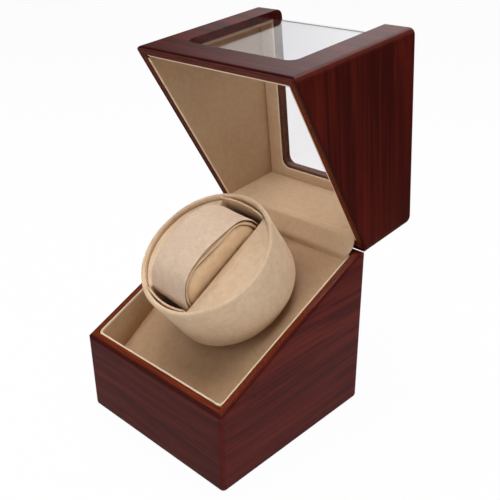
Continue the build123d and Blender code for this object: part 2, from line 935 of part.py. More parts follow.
def shaft_bushes():
    """Bush in the deck and bush in the gear plate."""
    upper = bush(-deck_thickness, deck_thickness)
    lower = bush(plate_top - plate_thickness, plate_thickness)
    return upper + lower


def standoff_places(shape):
    """A shape at each corner post of the gear plate."""
    return at_corners((plate_left, plate_right), (plate_low, plate_high), shape)


def gear_plate():
    """Steel plate that carries the lower bush, the idler's axle and the motor."""
    width = plate_right - plate_left + 2 * plate_border
    height = plate_high - plate_low + 2 * plate_border
    middle = Pos((plate_right + plate_left) / 2, (plate_high + plate_low) / 2)
    face = middle * RectangleRounded(width, height, plate_round)
    face -= Circle(bush_radius + running_gap)
    face -= Pos(*idler_place) * Circle(idler_axle_radius)
    face -= Pos(*motor_place) * Circle(motor_boss_radius + fit_gap)
    plate = Pos(0, 0, plate_top - plate_thickness) * extrude(face, plate_thickness)
    reach = (plate_top - beyond / 2, plate_top + beyond / 2)
    plate -= standoff_places(disc(plate_screw_radius + running_gap, reach))
    return plate - motor_screw_places(disc(motor_screw_radius + running_gap, reach))


def plate_standoffs():
    """Four posts between the deck and the gear plate."""
    post = disc(standoff_radius, (plate_top, -deck_thickness))
    hole = disc(plate_screw_radius + running_gap, (plate_top, plate_top + plate_screw_length))
    return standoff_places(post - hole)


def plate_screws():
    """Screws that hold the gear plate to its posts, driven from below."""
    length = plate_screw_length + plate_thickness - fit_gap
    screw = pan_screw(plate_screw_radius, plate_screw_head, plate_screw_head_height, length)
    return standoff_places(Pos(0, 0, plate_top - plate_thickness) * Rot(180, 0, 0) * screw)


def idler_axle():
    """Fixed axle of the idler, riveted in the gear plate with a collar under the gear."""
    pin = disc(idler_axle_radius, (plate_top - plate_thickness, small_faces[1]))
    collar = disc(idler_collar_radius, (plate_top, large_gear_base - fit_gap))
    return Pos(*idler_place) * (pin + collar)


def motor_screw_places(shape):
    """A shape at each of the two motor screws."""
    half_spacing = motor_screw_spacing / 2
    sides = [turned(i * half_spacing, pinion_direction + 90) for i in (-1, 1)]
    return sum((Pos(*motor_place) * Pos(*side) * shape for side in sides), Part())


def gearbox():
    """Reduction gearbox of the motor, with its boss in the gear plate."""
    top = plate_top - plate_thickness
    case = disc(gearbox_radius, (top - gearbox_length, top))
    case = fillet(case.edges().sort_by(Axis.Z)[0], gearbox_round)
    boss = disc(motor_boss_radius, (top, plate_top))
    shaft_room = disc(motor_shaft_radius + running_gap, (top - fit_gap, plate_top))
    screw_room = disc(motor_screw_radius + running_gap, (top - motor_screw_length, top))
    holes = motor_screw_places(screw_room)
    return Pos(*motor_place) * (case + boss - shaft_room) - holes


def motor_can():
    """Steel can of the motor below the gearbox, with its rear bearing cap."""
    top = plate_top - plate_thickness - gearbox_length
    can = disc(motor_radius, (top - motor_length, top))
    return Pos(*motor_place) * fillet(can.edges().sort_by(Axis.Z)[0], motor_round)


def motor_screws():
    """Screws that hold the gearbox under the plate, driven from above."""
    length = motor_screw_length + plate_thickness - fit_gap
    screw = pan_screw(motor_screw_radius, motor_screw_head, motor_screw_radius, length)
    return motor_screw_places(Pos(0, 0, plate_top) * screw)


# Rear controls, drawn with the case's rear face at z = 0


def control_screw_places(shape):
    """A shape at each of the two control plate screws."""
    along = (-control_screw_spacing / 2, control_screw_spacing / 2)
    return sum((Pos(x, 0) * shape for x in along), Part())


rocker_reach = hypot(rocker_length / 2, rocker_rise + rocker_pivot_depth)
rocker_room_length = 2 * (rocker_reach + soft_gap)
rocker_room_width = rocker_width + 2 * soft_gap
rocker_case = (rocker_room_length + 2 * rocker_wall, rocker_room_width + 2 * rocker_wall)


def control_plate():
    """Plastic plate that holds the socket and the two switches, set flush in the rear."""
    face = RectangleRounded(control_plate_width, control_plate_height, control_plate_round)
    face -= Pos(jack_place, 0) * Circle(jack_nose_radius + running_gap)
    face -= Rectangle(rocker_case[0] + fit_gap, rocker_case[1] + fit_gap)
    slot = (slider_length + slider_travel + 2 * soft_gap, slider_width + 2 * soft_gap)
    face -= Pos(slider_place, 0) * Rectangle(*slot)
    plate = extrude(face, -control_plate_thickness, dir=(0, 0, 1))
    hole = countersunk_hole(control_screw_radius, control_screw_head, control_plate_thickness)
    return plate - control_screw_places(hole)


def control_screws():
    """Two countersunk screws of the control plate."""
    screw = countersunk_screw(control_screw_radius, control_screw_head, control_screw_length)
    return control_screw_places(screw)


def dc_jack():
    """Low-voltage socket: a nose in the plate, a square body behind and a centre pin."""
    behind = -control_plate_thickness
    nose = disc(jack_nose_radius, (behind, 0))
    depths = (behind - control_depth, behind)
    half = jack_body_side / 2
    body = block((-half, half), (-half, half), depths)
    bore = disc(jack_bore_radius, (-jack_bore_depth, 0))
    pin = disc(jack_pin_radius, (-jack_bore_depth, -control_plate_thickness / 2))
    return Pos(jack_place, 0) * (nose + body - bore + pin)


def rocker_housing():
    """Open box of the power switch, with a flange on the plate and the pivot holes."""
    depths = (-control_plate_thickness - control_depth, 0)
    half_x = rocker_case[0] / 2
    half_y = rocker_case[1] / 2
    box = block((-half_x, half_x), (-half_y, half_y), depths)
    rim_x = half_x + rocker_flange
    rim_y = half_y + rocker_flange
    box += block((-rim_x, rim_x), (-rim_y, rim_y), (0, rocker_flange))
    room_x = rocker_room_length / 2
    room_y = rocker_room_width / 2
    floor = -rocker_pivot_depth - rocker_reach - soft_gap
    box -= block((-room_x, room_x), (-room_y, room_y), (floor, beyond))
    hole = Rot(90, 0, 0) * Cylinder(rocker_pin_radius + running_gap, 2 * (half_y - fit_gap))
    return box - Pos(0, 0, -rocker_pivot_depth) * hole


def power_rocker():
    """Rocker of the power switch, tilted to its off side, with its pivot pin."""
    half = rocker_length / 2
    outline = Polygon(
        (-half, rocker_pivot_depth - rocker_dip),
        (-rocker_pivot_depth, -rocker_pivot_depth),
        (rocker_pivot_depth, -rocker_pivot_depth),
        (half, rocker_pivot_depth - rocker_dip),
        (half, rocker_pivot_depth + rocker_rise),
        (0, rocker_pivot_depth + rocker_rise - rocker_dip),
        (-half, rocker_pivot_depth + rocker_rise),
    )
    body = extrude(Plane.XZ * outline, rocker_width / 2, both=True)
    pin_length = rocker_room_width + 2 * (rocker_wall - fit_gap - soft_gap)
    pin = Rot(90, 0, 0) * Cylinder(rocker_pin_radius, pin_length)
    return Pos(0, 0, -rocker_pivot_depth) * Rot(0, rocker_tilt, 0) * (body + pin)


def mode_switch():
    """Body of the mode switch behind the plate, with the track of its knob."""
    behind = -control_plate_thickness
    half_x = slider_body_length / 2
    half_y = slider_body_width / 2
    body = block((-half_x, half_x), (-half_y, half_y), (behind - control_depth, behind))
    track_x = (slider_length + slider_travel) / 2 + soft_gap
    track_y = slider_width / 2 + soft_gap
    body -= block((-track_x, track_x), (-track_y, track_y), (behind - slider_depth, beyond))
    return Pos(slider_place, 0) * body


def mode_slider():
    """Knob of the mode switch, at the first of its stops."""
    low = slider_place - slider_travel / 2
    depths = (soft_gap - control_plate_thickness - slider_depth, slider_rise)
    half_x = slider_length / 2
    half_y = slider_width / 2
    return block((low - half_x, low + half_x), (-half_y, half_y), depths)


def control_board():
    """Circuit board on the backs of the socket and switches, with its controller."""
    back = -control_plate_thickness - control_depth
    half_x = board_width / 2
    half_y = board_height / 2
    board = block((-half_x, half_x), (-half_y, half_y), (back - board_thickness, back))
    half = chip_side / 2
    low = back - board_thickness - chip_thickness
    return board + block((-half, half), (-half, half), (low, back - board_thickness))


base_level = (seam_rear_height, 1)
lid_level = (seam_rear_height + seam_gap, -1)

nodes = {
    "base_front_board": base_board("front"),
    "base_left_board": base_board("left"),
    "base_right_board": base_board("right"),
    "base_rear_board": base_rear(),
    "bottom_board": bottom(),
    "corner_blocks": corner_blocks(),
    "bottom_screws": bottom_screws(),
    "felt_pad": felt(),
    "deck_panel": deck(),
    "deck_cleats": cleats(),
    "base_side_liners": base_side_liners(),
    "base_front_liner": base_cross_liner((inner_front, inner_front + liner)),
    "base_rear_liner": base_cross_liner((inner_rear - liner, inner_rear)),
    "hinge_cloth": hinge_cloth(),
    "hinge_base_leaves": hinge_leaves(*base_level, own=(0, 2), others=(1,)),
    "hinge_pins": hinge_pins(),
    "hinge_base_screws": hinge_screw_row(hinge_screw(), *base_level),
    "lid_front_frame": open_lid * lid_front(),
    "lid_top_frame": open_lid * lid_top(),
    "lid_left_board": open_lid * lid_board("left"),
    "lid_right_board": open_lid * lid_board("right"),
    "lid_rear_board": open_lid * lid_rear(),
    "window_front_pane": open_lid * front_pane(),
    "window_top_pane": open_lid * top_pane(),
    "lid_front_liner": open_lid * lid_front_liner(),
    "lid_top_liner": open_lid * lid_top_liner(),
    "lid_rear_liner": open_lid * lid_rear_liner(),
    "lid_side_liners": open_lid * lid_side_liners(),
    "hinge_lid_leaves": open_lid * hinge_leaves(*lid_level, own=(1,), others=(0, 2)),
    "hinge_lid_screws": open_lid * hinge_screw_row(hinge_screw(), *lid_level),
    "drum_cup": drum_frame * cup(),
    "slot_block_left": drum_frame * slot_block(-1),
    "slot_block_right": drum_frame * slot_block(1),
    "slot_liner": drum_frame * slot_liner(),
    "slot_cushion": drum_frame * slot_cushion(),
    "drum_hub": drum_frame * hub(),
    "drum_shaft": deck_frame * drum_shaft(),
    "drum_gear": deck_frame * drum_gear(),
    "pillow_core": drum_frame * pillow_core(),
    "pillow_strip": drum_frame * pillow_strip(),
    "pillow_end_panels": drum_frame * pillow_panels(),
    "shaft_bushes": deck_frame * shaft_bushes(),
    "gear_plate": deck_frame * gear_plate(),
    "plate_standoffs": deck_frame * plate_standoffs(),
    "plate_screws": deck_frame * plate_screws(),
    "idler_axle": deck_frame * idler_axle(),
    "idler_gear": deck_frame * idler_gear(),
    "motor_pinion": deck_frame * motor_pinion(),
    "motor_gearbox": deck_frame * gearbox(),
    "motor_can": deck_frame * motor_can(),
    "motor_screws": deck_frame * motor_screws(),
    "control_plate": control_frame * control_plate(),
    "control_screws": control_frame * control_screws(),
    "dc_jack": control_frame * dc_jack(),
    "rocker_housing": control_frame * rocker_housing(),
    "power_rocker": control_frame * power_rocker(),
    "mode_switch_body": control_frame * mode_switch(),
    "mode_slider": control_frame * mode_slider(),
    "control_board": control_frame * control_board(),
}

os.makedirs("parts", exist_ok=True)
for name, shape in nodes.items():
    export_step(shape, f"parts/{name}.step")
print(len(nodes), "nodes")
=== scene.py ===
import logging
import math
from collections.abc import Iterator, Sequence
from contextlib import contextmanager
from dataclasses import dataclass, field, replace
from enum import Enum
from functools import cached_property

import bmesh
import bpy
from mathutils import Matrix, Vector, noise


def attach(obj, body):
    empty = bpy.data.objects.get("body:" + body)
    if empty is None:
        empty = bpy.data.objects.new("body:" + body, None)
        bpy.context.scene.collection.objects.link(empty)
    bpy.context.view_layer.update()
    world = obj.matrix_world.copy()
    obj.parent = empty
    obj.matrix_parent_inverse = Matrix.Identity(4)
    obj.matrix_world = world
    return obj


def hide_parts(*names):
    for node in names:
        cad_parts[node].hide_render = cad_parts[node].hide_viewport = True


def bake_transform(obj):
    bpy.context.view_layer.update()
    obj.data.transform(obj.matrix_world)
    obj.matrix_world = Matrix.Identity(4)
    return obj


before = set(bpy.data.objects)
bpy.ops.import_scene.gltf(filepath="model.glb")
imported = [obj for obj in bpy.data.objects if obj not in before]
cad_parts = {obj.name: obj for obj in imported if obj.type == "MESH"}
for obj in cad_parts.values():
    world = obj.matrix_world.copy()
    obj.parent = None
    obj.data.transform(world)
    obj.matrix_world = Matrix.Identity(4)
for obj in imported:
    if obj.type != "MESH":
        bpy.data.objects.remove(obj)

log = logging.getLogger("watch winder")
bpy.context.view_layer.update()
MM = 0.001
Point = tuple[float, float, float]
Colour = tuple[float, float, float, float]
WHITE: Colour = (1.0, 1.0, 1.0, 1.0)


def srgb(red: float, green: float, blue: float) -> Colour:
    """Linear colour of a red, green and blue from 0 to 255.

    Args:
        red: Red of the screen colour.
        green: Its green.
        blue: Its blue.

    Returns:
        The linear colour.
    """

    def linear(value: float) -> float:
        share = value / 255
        return share / 12.92 if share <= 0.04045 else ((share + 0.055) / 1.055) ** 2.4

    return linear(red), linear(green), linear(blue), 1.0


# Shader building


class Term:
    """A number or vector in a shader, used in ordinary arithmetic."""

    def __init__(self, graph: "Graph", socket: bpy.types.NodeSocket) -> None:
        """Wraps an output socket of a graph.

        Args:
            graph: Node tree.
            socket: Output socket.
        """
        self.graph = graph
        self.socket = socket

    def _math(self, operation: str, *values: "Term | float") -> "Term":
        """A Math node over the given values.

        Args:
            operation: What it works out.
            values: Its inputs.

        Returns:
            The result.
        """
        inputs = dict(enumerate(values))
        made = self.graph.node("ShaderNodeMath", {"operation": operation}, inputs)
        return Term(self.graph, made.outputs[0])

    def __add__(self, other: "Term | float") -> "Term":
        """Sum."""
        return self._math("ADD", self, other)

    def __radd__(self, other: float) -> "Term":
        """Sum, number first."""
        return self._math("ADD", other, self)

    def __sub__(self, other: "Term | float") -> "Term":
        """Difference."""
        return self._math("SUBTRACT", self, other)

    def __rsub__(self, other: float) -> "Term":
        """Difference, number first."""
        return self._math("SUBTRACT", other, self)

    def __mul__(self, other: "Term | float") -> "Term":
        """Product."""
        return self._math("MULTIPLY", self, other)

    def __rmul__(self, other: float) -> "Term":
        """Product, number first."""
        return self._math("MULTIPLY", other, self)

    def __pow__(self, other: "Term | float") -> "Term":
        """Power."""
        return self._math("POWER", self, other)

    def __abs__(self) -> "Term":
        """Size without its sign."""
        return self._math("ABSOLUTE", self)

    def least(self, other: "Term | float") -> "Term":
        """The lesser of two values."""
        return self._math("MINIMUM", self, other)

    def most(self, other: "Term | float") -> "Term":
        """The greater of two values."""
        return self._math("MAXIMUM", self, other)

    def between(self, low: float, high: float) -> "Term":
        """Smooth step from 0 at low to 1 at high.

        Args:
            low: Where it starts.
            high: Where it ends.

        Returns:
            The step.
        """
        settings = {"interpolation_type": "SMOOTHSTEP"}
        ends = {"Value": self, "From Min": low, "From Max": high}
        return Term(self.graph, self.graph.node("ShaderNodeMapRange", settings, ends).outputs[0])


class Graph:
    """A node tree that is built from nothing."""

    def __init__(self, tree: bpy.types.NodeTree) -> None:
        """Empties the node tree."""
        self.tree = tree
        tree.nodes.clear()

    def node(self, kind: str, settings: dict, inputs: dict) -> bpy.types.Node:
        """Adds a node.

        Args:
            kind: Node type.
            settings: Properties that are set first; "stops" fills a colour ramp.
            inputs: Values or links by socket name or number.

        Returns:
            The new node.
        """
        made = self.tree.nodes.new(kind)
        for key, value in settings.items():
            if key == "stops":
                self.fill_ramp(made.color_ramp, value)
            else:
                setattr(made, key, value)
        for key, value in inputs.items():
            if isinstance(value, Term):
                value = value.socket
            if isinstance(value, bpy.types.NodeSocket):
                self.tree.links.new(value, made.inputs[key])
            else:
                made.inputs[key].default_value = value
        return made

    @staticmethod
    def fill_ramp(ramp: bpy.types.ColorRamp, stops: Sequence[tuple[float, Colour]]) -> None:
        """Gives a colour ramp its stops.

        Args:
            ramp: Colour ramp.
            stops: Place and colour of each stop.
        """
        while len(ramp.elements) < len(stops):
            ramp.elements.new(1.0)
        for element, (place, colour) in zip(ramp.elements, stops):
            element.position = place
            element.color = colour

    def position(self) -> Term:
        """Place on the object, in metres."""
        return Term(self, self.node("ShaderNodeTexCoord", {}, {}).outputs["Object"])

    def facing(self, direction: Sequence[float]) -> Term:
        """How far the surface faces a direction, from -1 to 1.

        Args:
            direction: Unit vector.

        Returns:
            The cosine of the angle between them.
        """
        normal = self.node("ShaderNodeTexCoord", {}, {}).outputs["Normal"]
        inputs = {0: normal, 1: tuple(direction)}
        made = self.node("ShaderNodeVectorMath", {"operation": "DOT_PRODUCT"}, inputs)
        return Term(self, made.outputs["Value"])

    def placed(self, place: Term, matrix: Matrix) -> Term:
        """A place moved and turned by a rigid matrix.

        Args:
            place: Place.
            matrix: Rigid matrix.

        Returns:
            The moved place.
        """
        inputs = {
            "Vector": place,
            "Location": tuple(matrix.to_translation()),
            "Rotation": tuple(matrix.to_euler()),
        }
        return Term(self, self.node("ShaderNodeMapping", {}, inputs).outputs[0])

    def split(self, vector: Term) -> tuple[Term, Term, Term]:
        """The three parts of a vector."""
        made = self.node("ShaderNodeSeparateXYZ", {}, {0: vector})
        return tuple(Term(self, out) for out in made.outputs)

    def vector(self, x: Term | float, y: Term | float, z: Term | float) -> Term:
        """A vector of three parts."""
        return Term(self, self.node("ShaderNodeCombineXYZ", {}, {0: x, 1: y, 2: z}).outputs[0])

    def speckle(self, place: Term, size: float, detail: float = 2.0, rough: float = 0.5) -> Term:
        """Cloudy pattern from 0 to 1.

        Args:
            place: Place.
            size: Size of the blots, in metres.
            detail: Finer layers.
            rough: Weight of the finer layers.

        Returns:
            The pattern.
        """
        inputs = {"Vector": place, "Scale": 1 / size, "Detail": detail, "Roughness": rough}
        return Term(self, self.node("ShaderNodeTexNoise", {}, inputs).outputs["Fac"])

    def blend(self, share: Term | float, first: "Term | Colour", second: "Term | Colour") -> Term:
        """Colour between two colours.

        Args:
            share: Share of the second.
            first: First colour.
            second: Second colour.

        Returns:
            The colour.
        """
        inputs = {0: share, 6: first, 7: second}
        made = self.node("ShaderNodeMix", {"data_type": "RGBA"}, inputs)
        return Term(self, made.outputs[2])

    def relief(self, height: Term, depth: float, strength: float = 1.0) -> Term:
        """Normal of a bumpy surface whose height of 1 stands a depth in metres proud."""
        inputs = {"Height": height, "Distance": depth, "Strength": strength}
        return Term(self, self.node("ShaderNodeBump", {}, inputs).outputs[0])

    def ray(self, kind: str) -> Term:
        """1 for a ray of a kind, such as Camera, and 0 for others."""
        return Term(self, self.node("ShaderNodeLightPath", {}, {}).outputs[f"Is {kind} Ray"])


class Surface(Graph):
    """The node tree of one material, ending in a Principled shader."""

    def __init__(self, name: str) -> None:
        """Starts a material with nothing but its shader and output.

        Args:
            name: Name of the material.
        """
        self.material = bpy.data.materials.new(name)
        self.material.use_nodes = True
        super().__init__(self.material.node_tree)
        self.shader = self.node("ShaderNodeBsdfPrincipled", {}, {})
        surface = {"Surface": self.shader.outputs[0]}
        self.output = self.node("ShaderNodeOutputMaterial", {}, surface)

    def finish(self, **values: "Term | float | Colour") -> bpy.types.Material:
        """Sets the shader's sockets.

        Args:
            values: Values or links by the socket's name, with underscores for spaces.

        Returns:
            The material.
        """
        for key, value in values.items():
            socket = self.shader.inputs[key.replace("_", " ")]
            if isinstance(value, Term):
                self.tree.links.new(value.socket, socket)
            else:
                socket.default_value = value
        return self.material

    def mixed(self, share: Term, other: bpy.types.Node) -> None:
        """Puts a second shader before the output.

        Args:
            share: How much of the second shader shows.
            other: The second shader.
        """
        inputs = {0: share, 1: self.shader.outputs[0], 2: other.outputs[0]}
        mix = self.node("ShaderNodeMixShader", {}, inputs)
        self.tree.links.new(mix.outputs[0], self.output.inputs["Surface"])


# Sizes that the case shares between its parts


@dataclass(frozen=True)
class CaseSizes:
    """Sizes of the case, in metres, with the lid closed."""

    half_width: float = 62.5 * MM
    half_depth: float = 64.2 * MM
    height: float = 164.8 * MM
    side_board: float = 5.5 * MM
    front_board: float = 5.1 * MM
    rear_board: float = 8.0 * MM
    top_board: float = 5.3 * MM
    liner: float = 1.8 * MM
    pane: float = 2.0 * MM
    seam_front: float = 55.5 * MM
    seam_rear: float = 112.0 * MM
    seam_level: float = 6.1 * MM
    seam_gap: float = 0.3 * MM
    open_angle: float = math.radians(83.6)
    hinge_y: float = 62.6 * MM
    hinge_z: float = 112.4 * MM
    deck_slope: float = math.radians(35.1)
    deck_front: float = 27.1 * MM
    drum_y: float = 13.8 * MM
    drum_standoff: float = 8.1 * MM
    drum_depth: float = 42.6 * MM
    slot_turn: float = math.radians(4.8)

    @property
    def inner_x(self) -> float:
        """Inner face of a side board."""
        return self.half_width - self.side_board

    @property
    def inner_front(self) -> float:
        """Inner face of the front board."""
        return self.front_board - self.half_depth

    @property
    def inner_rear(self) -> float:
        """Inner face of the rear board."""
        return self.half_depth - self.rear_board

    @property
    def seam_rise(self) -> float:
        """Rise of the seam for each unit of depth."""
        return (self.seam_rear - self.seam_front) / (2 * self.half_depth - self.seam_level)

    def seam(self, y: float) -> float:
        """Height of the seam at a depth."""
        slope = self.seam_front + (y + self.half_depth) * self.seam_rise
        return min(slope, self.seam_rear)

    def deck(self, y: float) -> float:
        """Height of the deck's top at a depth."""
        return self.deck_front + (y - self.inner_front) * math.tan(self.deck_slope)

    @property
    def drum(self) -> Matrix:
        """Frame of the drum, at the middle of its rim, with Y along the slot.

        Returns:
            Its matrix in the case.
        """
        foot = Matrix.Translation((0, self.drum_y, self.deck(self.drum_y)))
        rise = Matrix.Translation((0, 0, self.drum_standoff + self.drum_depth))
        slope = Matrix.Rotation(self.deck_slope, 4, "X")
        return foot @ slope @ rise @ Matrix.Rotation(-self.slot_turn, 4, "Z")

    @property
    def opening(self) -> Matrix:
        """Turn that takes the lid from closed to the stored open place."""
        hinge = Matrix.Translation((0, self.hinge_y, self.hinge_z))
        return hinge @ Matrix.Rotation(-self.open_angle, 4, "X") @ hinge.inverted()


CASE = CaseSizes()


# Finishes


class Half(Enum):
    """The half of the case that a board belongs to."""

    BASE = "base"
    LID = "lid"


class Grain(Enum):
    """The direction of a board's grain in the closed case."""

    ACROSS = 0
    DEPTH = 1
    UPRIGHT = 2


@dataclass(frozen=True)
class Veneer:
    """Red-brown striped veneer under satin lacquer."""

    half: Half
    grain: Grain
    tones: tuple[Colour, ...] = (srgb(57, 16, 12), srgb(79, 21, 14), srgb(103, 30, 17))
    base_tones: tuple[Colour, ...] = (srgb(76, 23, 20), srgb(98, 32, 25), srgb(116, 41, 29))
    # Lighter red of the painted highlight along the case's outer edges; the lid's sides also take it
    # in a band before the joint.
    edge: Colour = srgb(88, 26, 17)
    rim: Colour = srgb(124, 51, 21)
    rim_dark: Colour = srgb(84, 30, 15)
    # Dark colour of the grain's veins, the lid's joint and the painted shade on the eased edges at
    # the seam.
    shade_and_dark_lines: Colour = srgb(52, 16, 14)
    lid_front_rim: Colour = srgb(108, 52, 44)
    joint_line: Colour = srgb(20, 8, 8)

    def material(self) -> bpy.types.Material:
        """Builds the finish.

        Returns:
            The material.
        """
        graph = Surface(f"veneer_{self.half.value}_{self.grain.name.lower()}")
        place = graph.position()
        turn = Matrix.Identity(4)
        if self.half is Half.LID:
            turn = CASE.opening.inverted()
            place = graph.placed(place, turn)
        parts = graph.split(place)
        tone, fibre, pores = self._striped(graph, parts)
        # Painted highlight: lighter red along the case's outer edges.
        tone = graph.blend(self._edge_highlight_share(parts) * 0.5, tone, self.edge)
        tone, bare = self._rimmed(graph, parts, tone, fibre, self._rim_share(graph, turn))
        if self.half is Half.LID:
            tone = self._jointed(graph, parts, tone)
        return graph.finish(
            Base_Color=tone,
            Roughness=0.45 + pores * 0.08,
            Normal=graph.relief(pores.between(0.5, 0.75) * -1.0, 0.02 * MM, 0.2),
            Coat_Weight=0.6 - bare * 0.52,
            Coat_Roughness=0.12,
            Specular_IOR_Level=0.05,
        )

    def _striped(self, graph: Graph, parts: Sequence[Term]) -> tuple[Term, Term, Term]:
        """Draws the stripes of the wood along its grain.

        Args:
            graph: Node tree.
            parts: Place in the closed case.

        Returns:
            The colour, the fibres and the pores.
        """
        along = parts[self.grain.value]
        across = [part for i, part in enumerate(parts) if i != self.grain.value]
        bend = graph.speckle(graph.vector(along * 0.4, *across), 70 * MM, 2.0)
        wave = (bend - 0.5) * (14 * MM)
        lines = [part + wave for part in across]
        apart = [line + 90 * MM for line in lines]
        bands = graph.speckle(graph.vector(along * 0.04, *lines), 9 * MM, 2.0, 0.6)
        stripes = graph.speckle(graph.vector(along * 0.02, *lines), 2.6 * MM, 2.0, 0.6)
        fibre = graph.speckle(graph.vector(along * 0.012, *lines), 0.7 * MM, 3.0, 0.6)
        pores = graph.speckle(graph.vector(along * 0.05, *lines), 0.22 * MM, 1.0)
        veins = graph.speckle(graph.vector(along * 0.01, *apart), 1.5 * MM, 1.0)
        dark, middle, light = self.base_tones if self.half is Half.BASE else self.tones
        tone = graph.blend(bands.between(0.36, 0.66), dark, middle)
        tone = graph.blend(stripes.between(0.46, 0.70) * 0.5, tone, light)
        tone = graph.blend(fibre.between(0.50, 0.68) * 0.35, tone, dark)
        tone = graph.blend(pores.between(0.60, 0.75) * 0.3, tone, dark)
        return graph.blend(veins.between(0.64, 0.70) * 0.6, tone, self.shade_and_dark_lines), fibre, pores

    def _rimmed(
        self, graph: Graph, parts: Sequence[Term], tone: Term, fibre: Term, mating: Term
    ) -> tuple[Term, Term]:
        """Colours the mating faces of the seam, with painted shade on the eased edges beside them.

        Args:
            graph: Node tree.
            parts: Place in the closed case.
            tone: Colour of the wood.
            fibre: Fibres of the wood.
            mating: Share of the mating faces.

        Returns:
            The colour, and where the lacquer is thin.
        """
        outer = (CASE.half_width - abs(parts[0])).least(parts[1] + CASE.half_depth)
        seam = abs(parts[2] - CASE.seam_front - (parts[1] + CASE.half_depth) * CASE.seam_rise)
        lines = fibre.between(0.35, 0.65)
        if self.half is Half.LID and self.grain is Grain.ACROSS:
            rim = graph.blend(lines * 0.5, self.lid_front_rim, self.shade_and_dark_lines)
            mating = mating.most(1 - seam.between(1.1 * MM, 1.3 * MM))
            shade_and_dark_lines = 1 - abs(seam - 1.5 * MM).between(0.25 * MM, 0.55 * MM)
            tone = graph.blend(mating, tone, rim)
            return graph.blend(shade_and_dark_lines, tone, self.joint_line), mating.most(shade_and_dark_lines)
        rim = graph.blend(lines, self.rim, self.rim_dark)
        # Painted shade: the mating face darkens towards its outer eased edge.
        rim = graph.blend(1 - outer.between(1.0 * MM, 2.6 * MM), rim, self.shade_and_dark_lines)
        # Painted shade on the eased arris where the outer faces meet the seam.
        shade_and_dark_lines = 1 - outer.most(seam * 0.8).between(0.5 * MM, 1.5 * MM)
        tone = graph.blend(mating, tone, rim)
        return graph.blend(shade_and_dark_lines * 0.7, tone, self.shade_and_dark_lines), mating.most(shade_and_dark_lines)

    def _jointed(self, graph: Graph, parts: Sequence[Term], tone: Term) -> Term:
        """Draws the joint between the lid's sides and its front.

        Args:
            graph: Node tree.
            parts: Place in the closed case.
            tone: Colour of the wood.

        Returns:
            The colour with the joint.
        """
        ahead = parts[1] + CASE.half_depth
        sides = abs(parts[0]).between(CASE.half_width - 1.2 * MM, CASE.half_width - 0.4 * MM)
        edging = 1 - ahead.between(4.2 * MM, 4.5 * MM)
        tone = graph.blend(edging * sides * 0.3, tone, self.edge)
        joint = 1 - abs(ahead - 4.6 * MM).between(0.1 * MM, 0.4 * MM)
        return graph.blend(joint * sides * 0.6, tone, self.shade_and_dark_lines)

    @staticmethod
    def _edge_highlight_share(parts: Sequence[Term]) -> Term:
        """How near a place is to an outer edge of the case, where a highlight is painted.

        Args:
            parts: Place in the closed case.

        Returns:
            The share, from 0 to 1.
        """
        reach = 3.2 * MM
        x = abs(parts[0]).between(CASE.half_width - reach, CASE.half_width)
        y = abs(parts[1]).between(CASE.half_depth - reach, CASE.half_depth)
        middle = CASE.height / 2
        z = abs(parts[2] - middle).between(middle - reach, middle)
        return (x * y).most(y * z).most(x * z).between(0.0, 0.35)

    @staticmethod
    def _rim_share(graph: Graph, turn: Matrix) -> Term:
        """Which faces are the mating faces of the seam.

        Args:
            graph: Node tree.
            turn: Turn that closes the board.

        Returns:
            The share, from 0 to 1.
        """
        slope = Vector((0, -CASE.seam_rise, 1)).normalized()
        open_slope = turn.to_3x3().inverted() @ slope
        return abs(graph.facing(open_slope)).between(0.985, 0.998)


@dataclass(frozen=True)
class Nap:
    """Short-nap cloth, brushed this way and that."""

    name: str
    colour: Colour
    shade: Colour
    grain: float = 0.35 * MM
    relief: float = 0.05 * MM
    patches: float = 0.3
    speckled: float = 0.25
    # Half whose lining takes a pale band of painted highlight along its edge at the seam, and that
    # band's colour.
    highlit_edge: Half | None = None
    pale: Colour = srgb(228, 208, 180)

    def material(self) -> bpy.types.Material:
        """Builds the finish.

        Returns:
            The material.
        """
        graph = Surface(self.name)
        place = graph.position()
        brushed = graph.speckle(place, 16 * MM, 3.0, 0.55).between(0.38, 0.66)
        strokes = graph.speckle(place, 4 * MM, 3.0, 0.65).between(0.35, 0.65)
        grains = graph.speckle(place, 0.9 * MM, 2.0, 0.7).between(0.3, 0.7)
        fine = graph.speckle(place, self.grain, 2.0, 0.6)
        broad = brushed * self.patches + strokes * 0.2
        share = broad + grains * self.speckled + fine.between(0.35, 0.75) * 0.25
        tone = graph.blend(share.least(1.0), self.colour, self.shade)
        # Painted highlight: a pale band within about 1.6 mm of the seam, where the folded edge of
        # the lining catches the light.
        if self.highlit_edge is not None:
            closed = place
            if self.highlit_edge is Half.LID:
                closed = graph.placed(place, CASE.opening.inverted())
            x, y, z = graph.split(closed)
            away = abs(z - CASE.seam_front - (y + CASE.half_depth) * CASE.seam_rise)
            tone = graph.blend(1 - away.between(0.9 * MM, 1.6 * MM), tone, self.pale)
        height = fine + strokes * 0.5 + grains * 0.4
        return graph.finish(
            Base_Color=tone,
            Roughness=0.85 + fine * 0.1,
            Normal=graph.relief(height, self.relief, 0.6),
            Sheen_Weight=0.2,
            Sheen_Roughness=0.45,
            Sheen_Tint=self.colour,
            Specular_IOR_Level=0.2,
        )


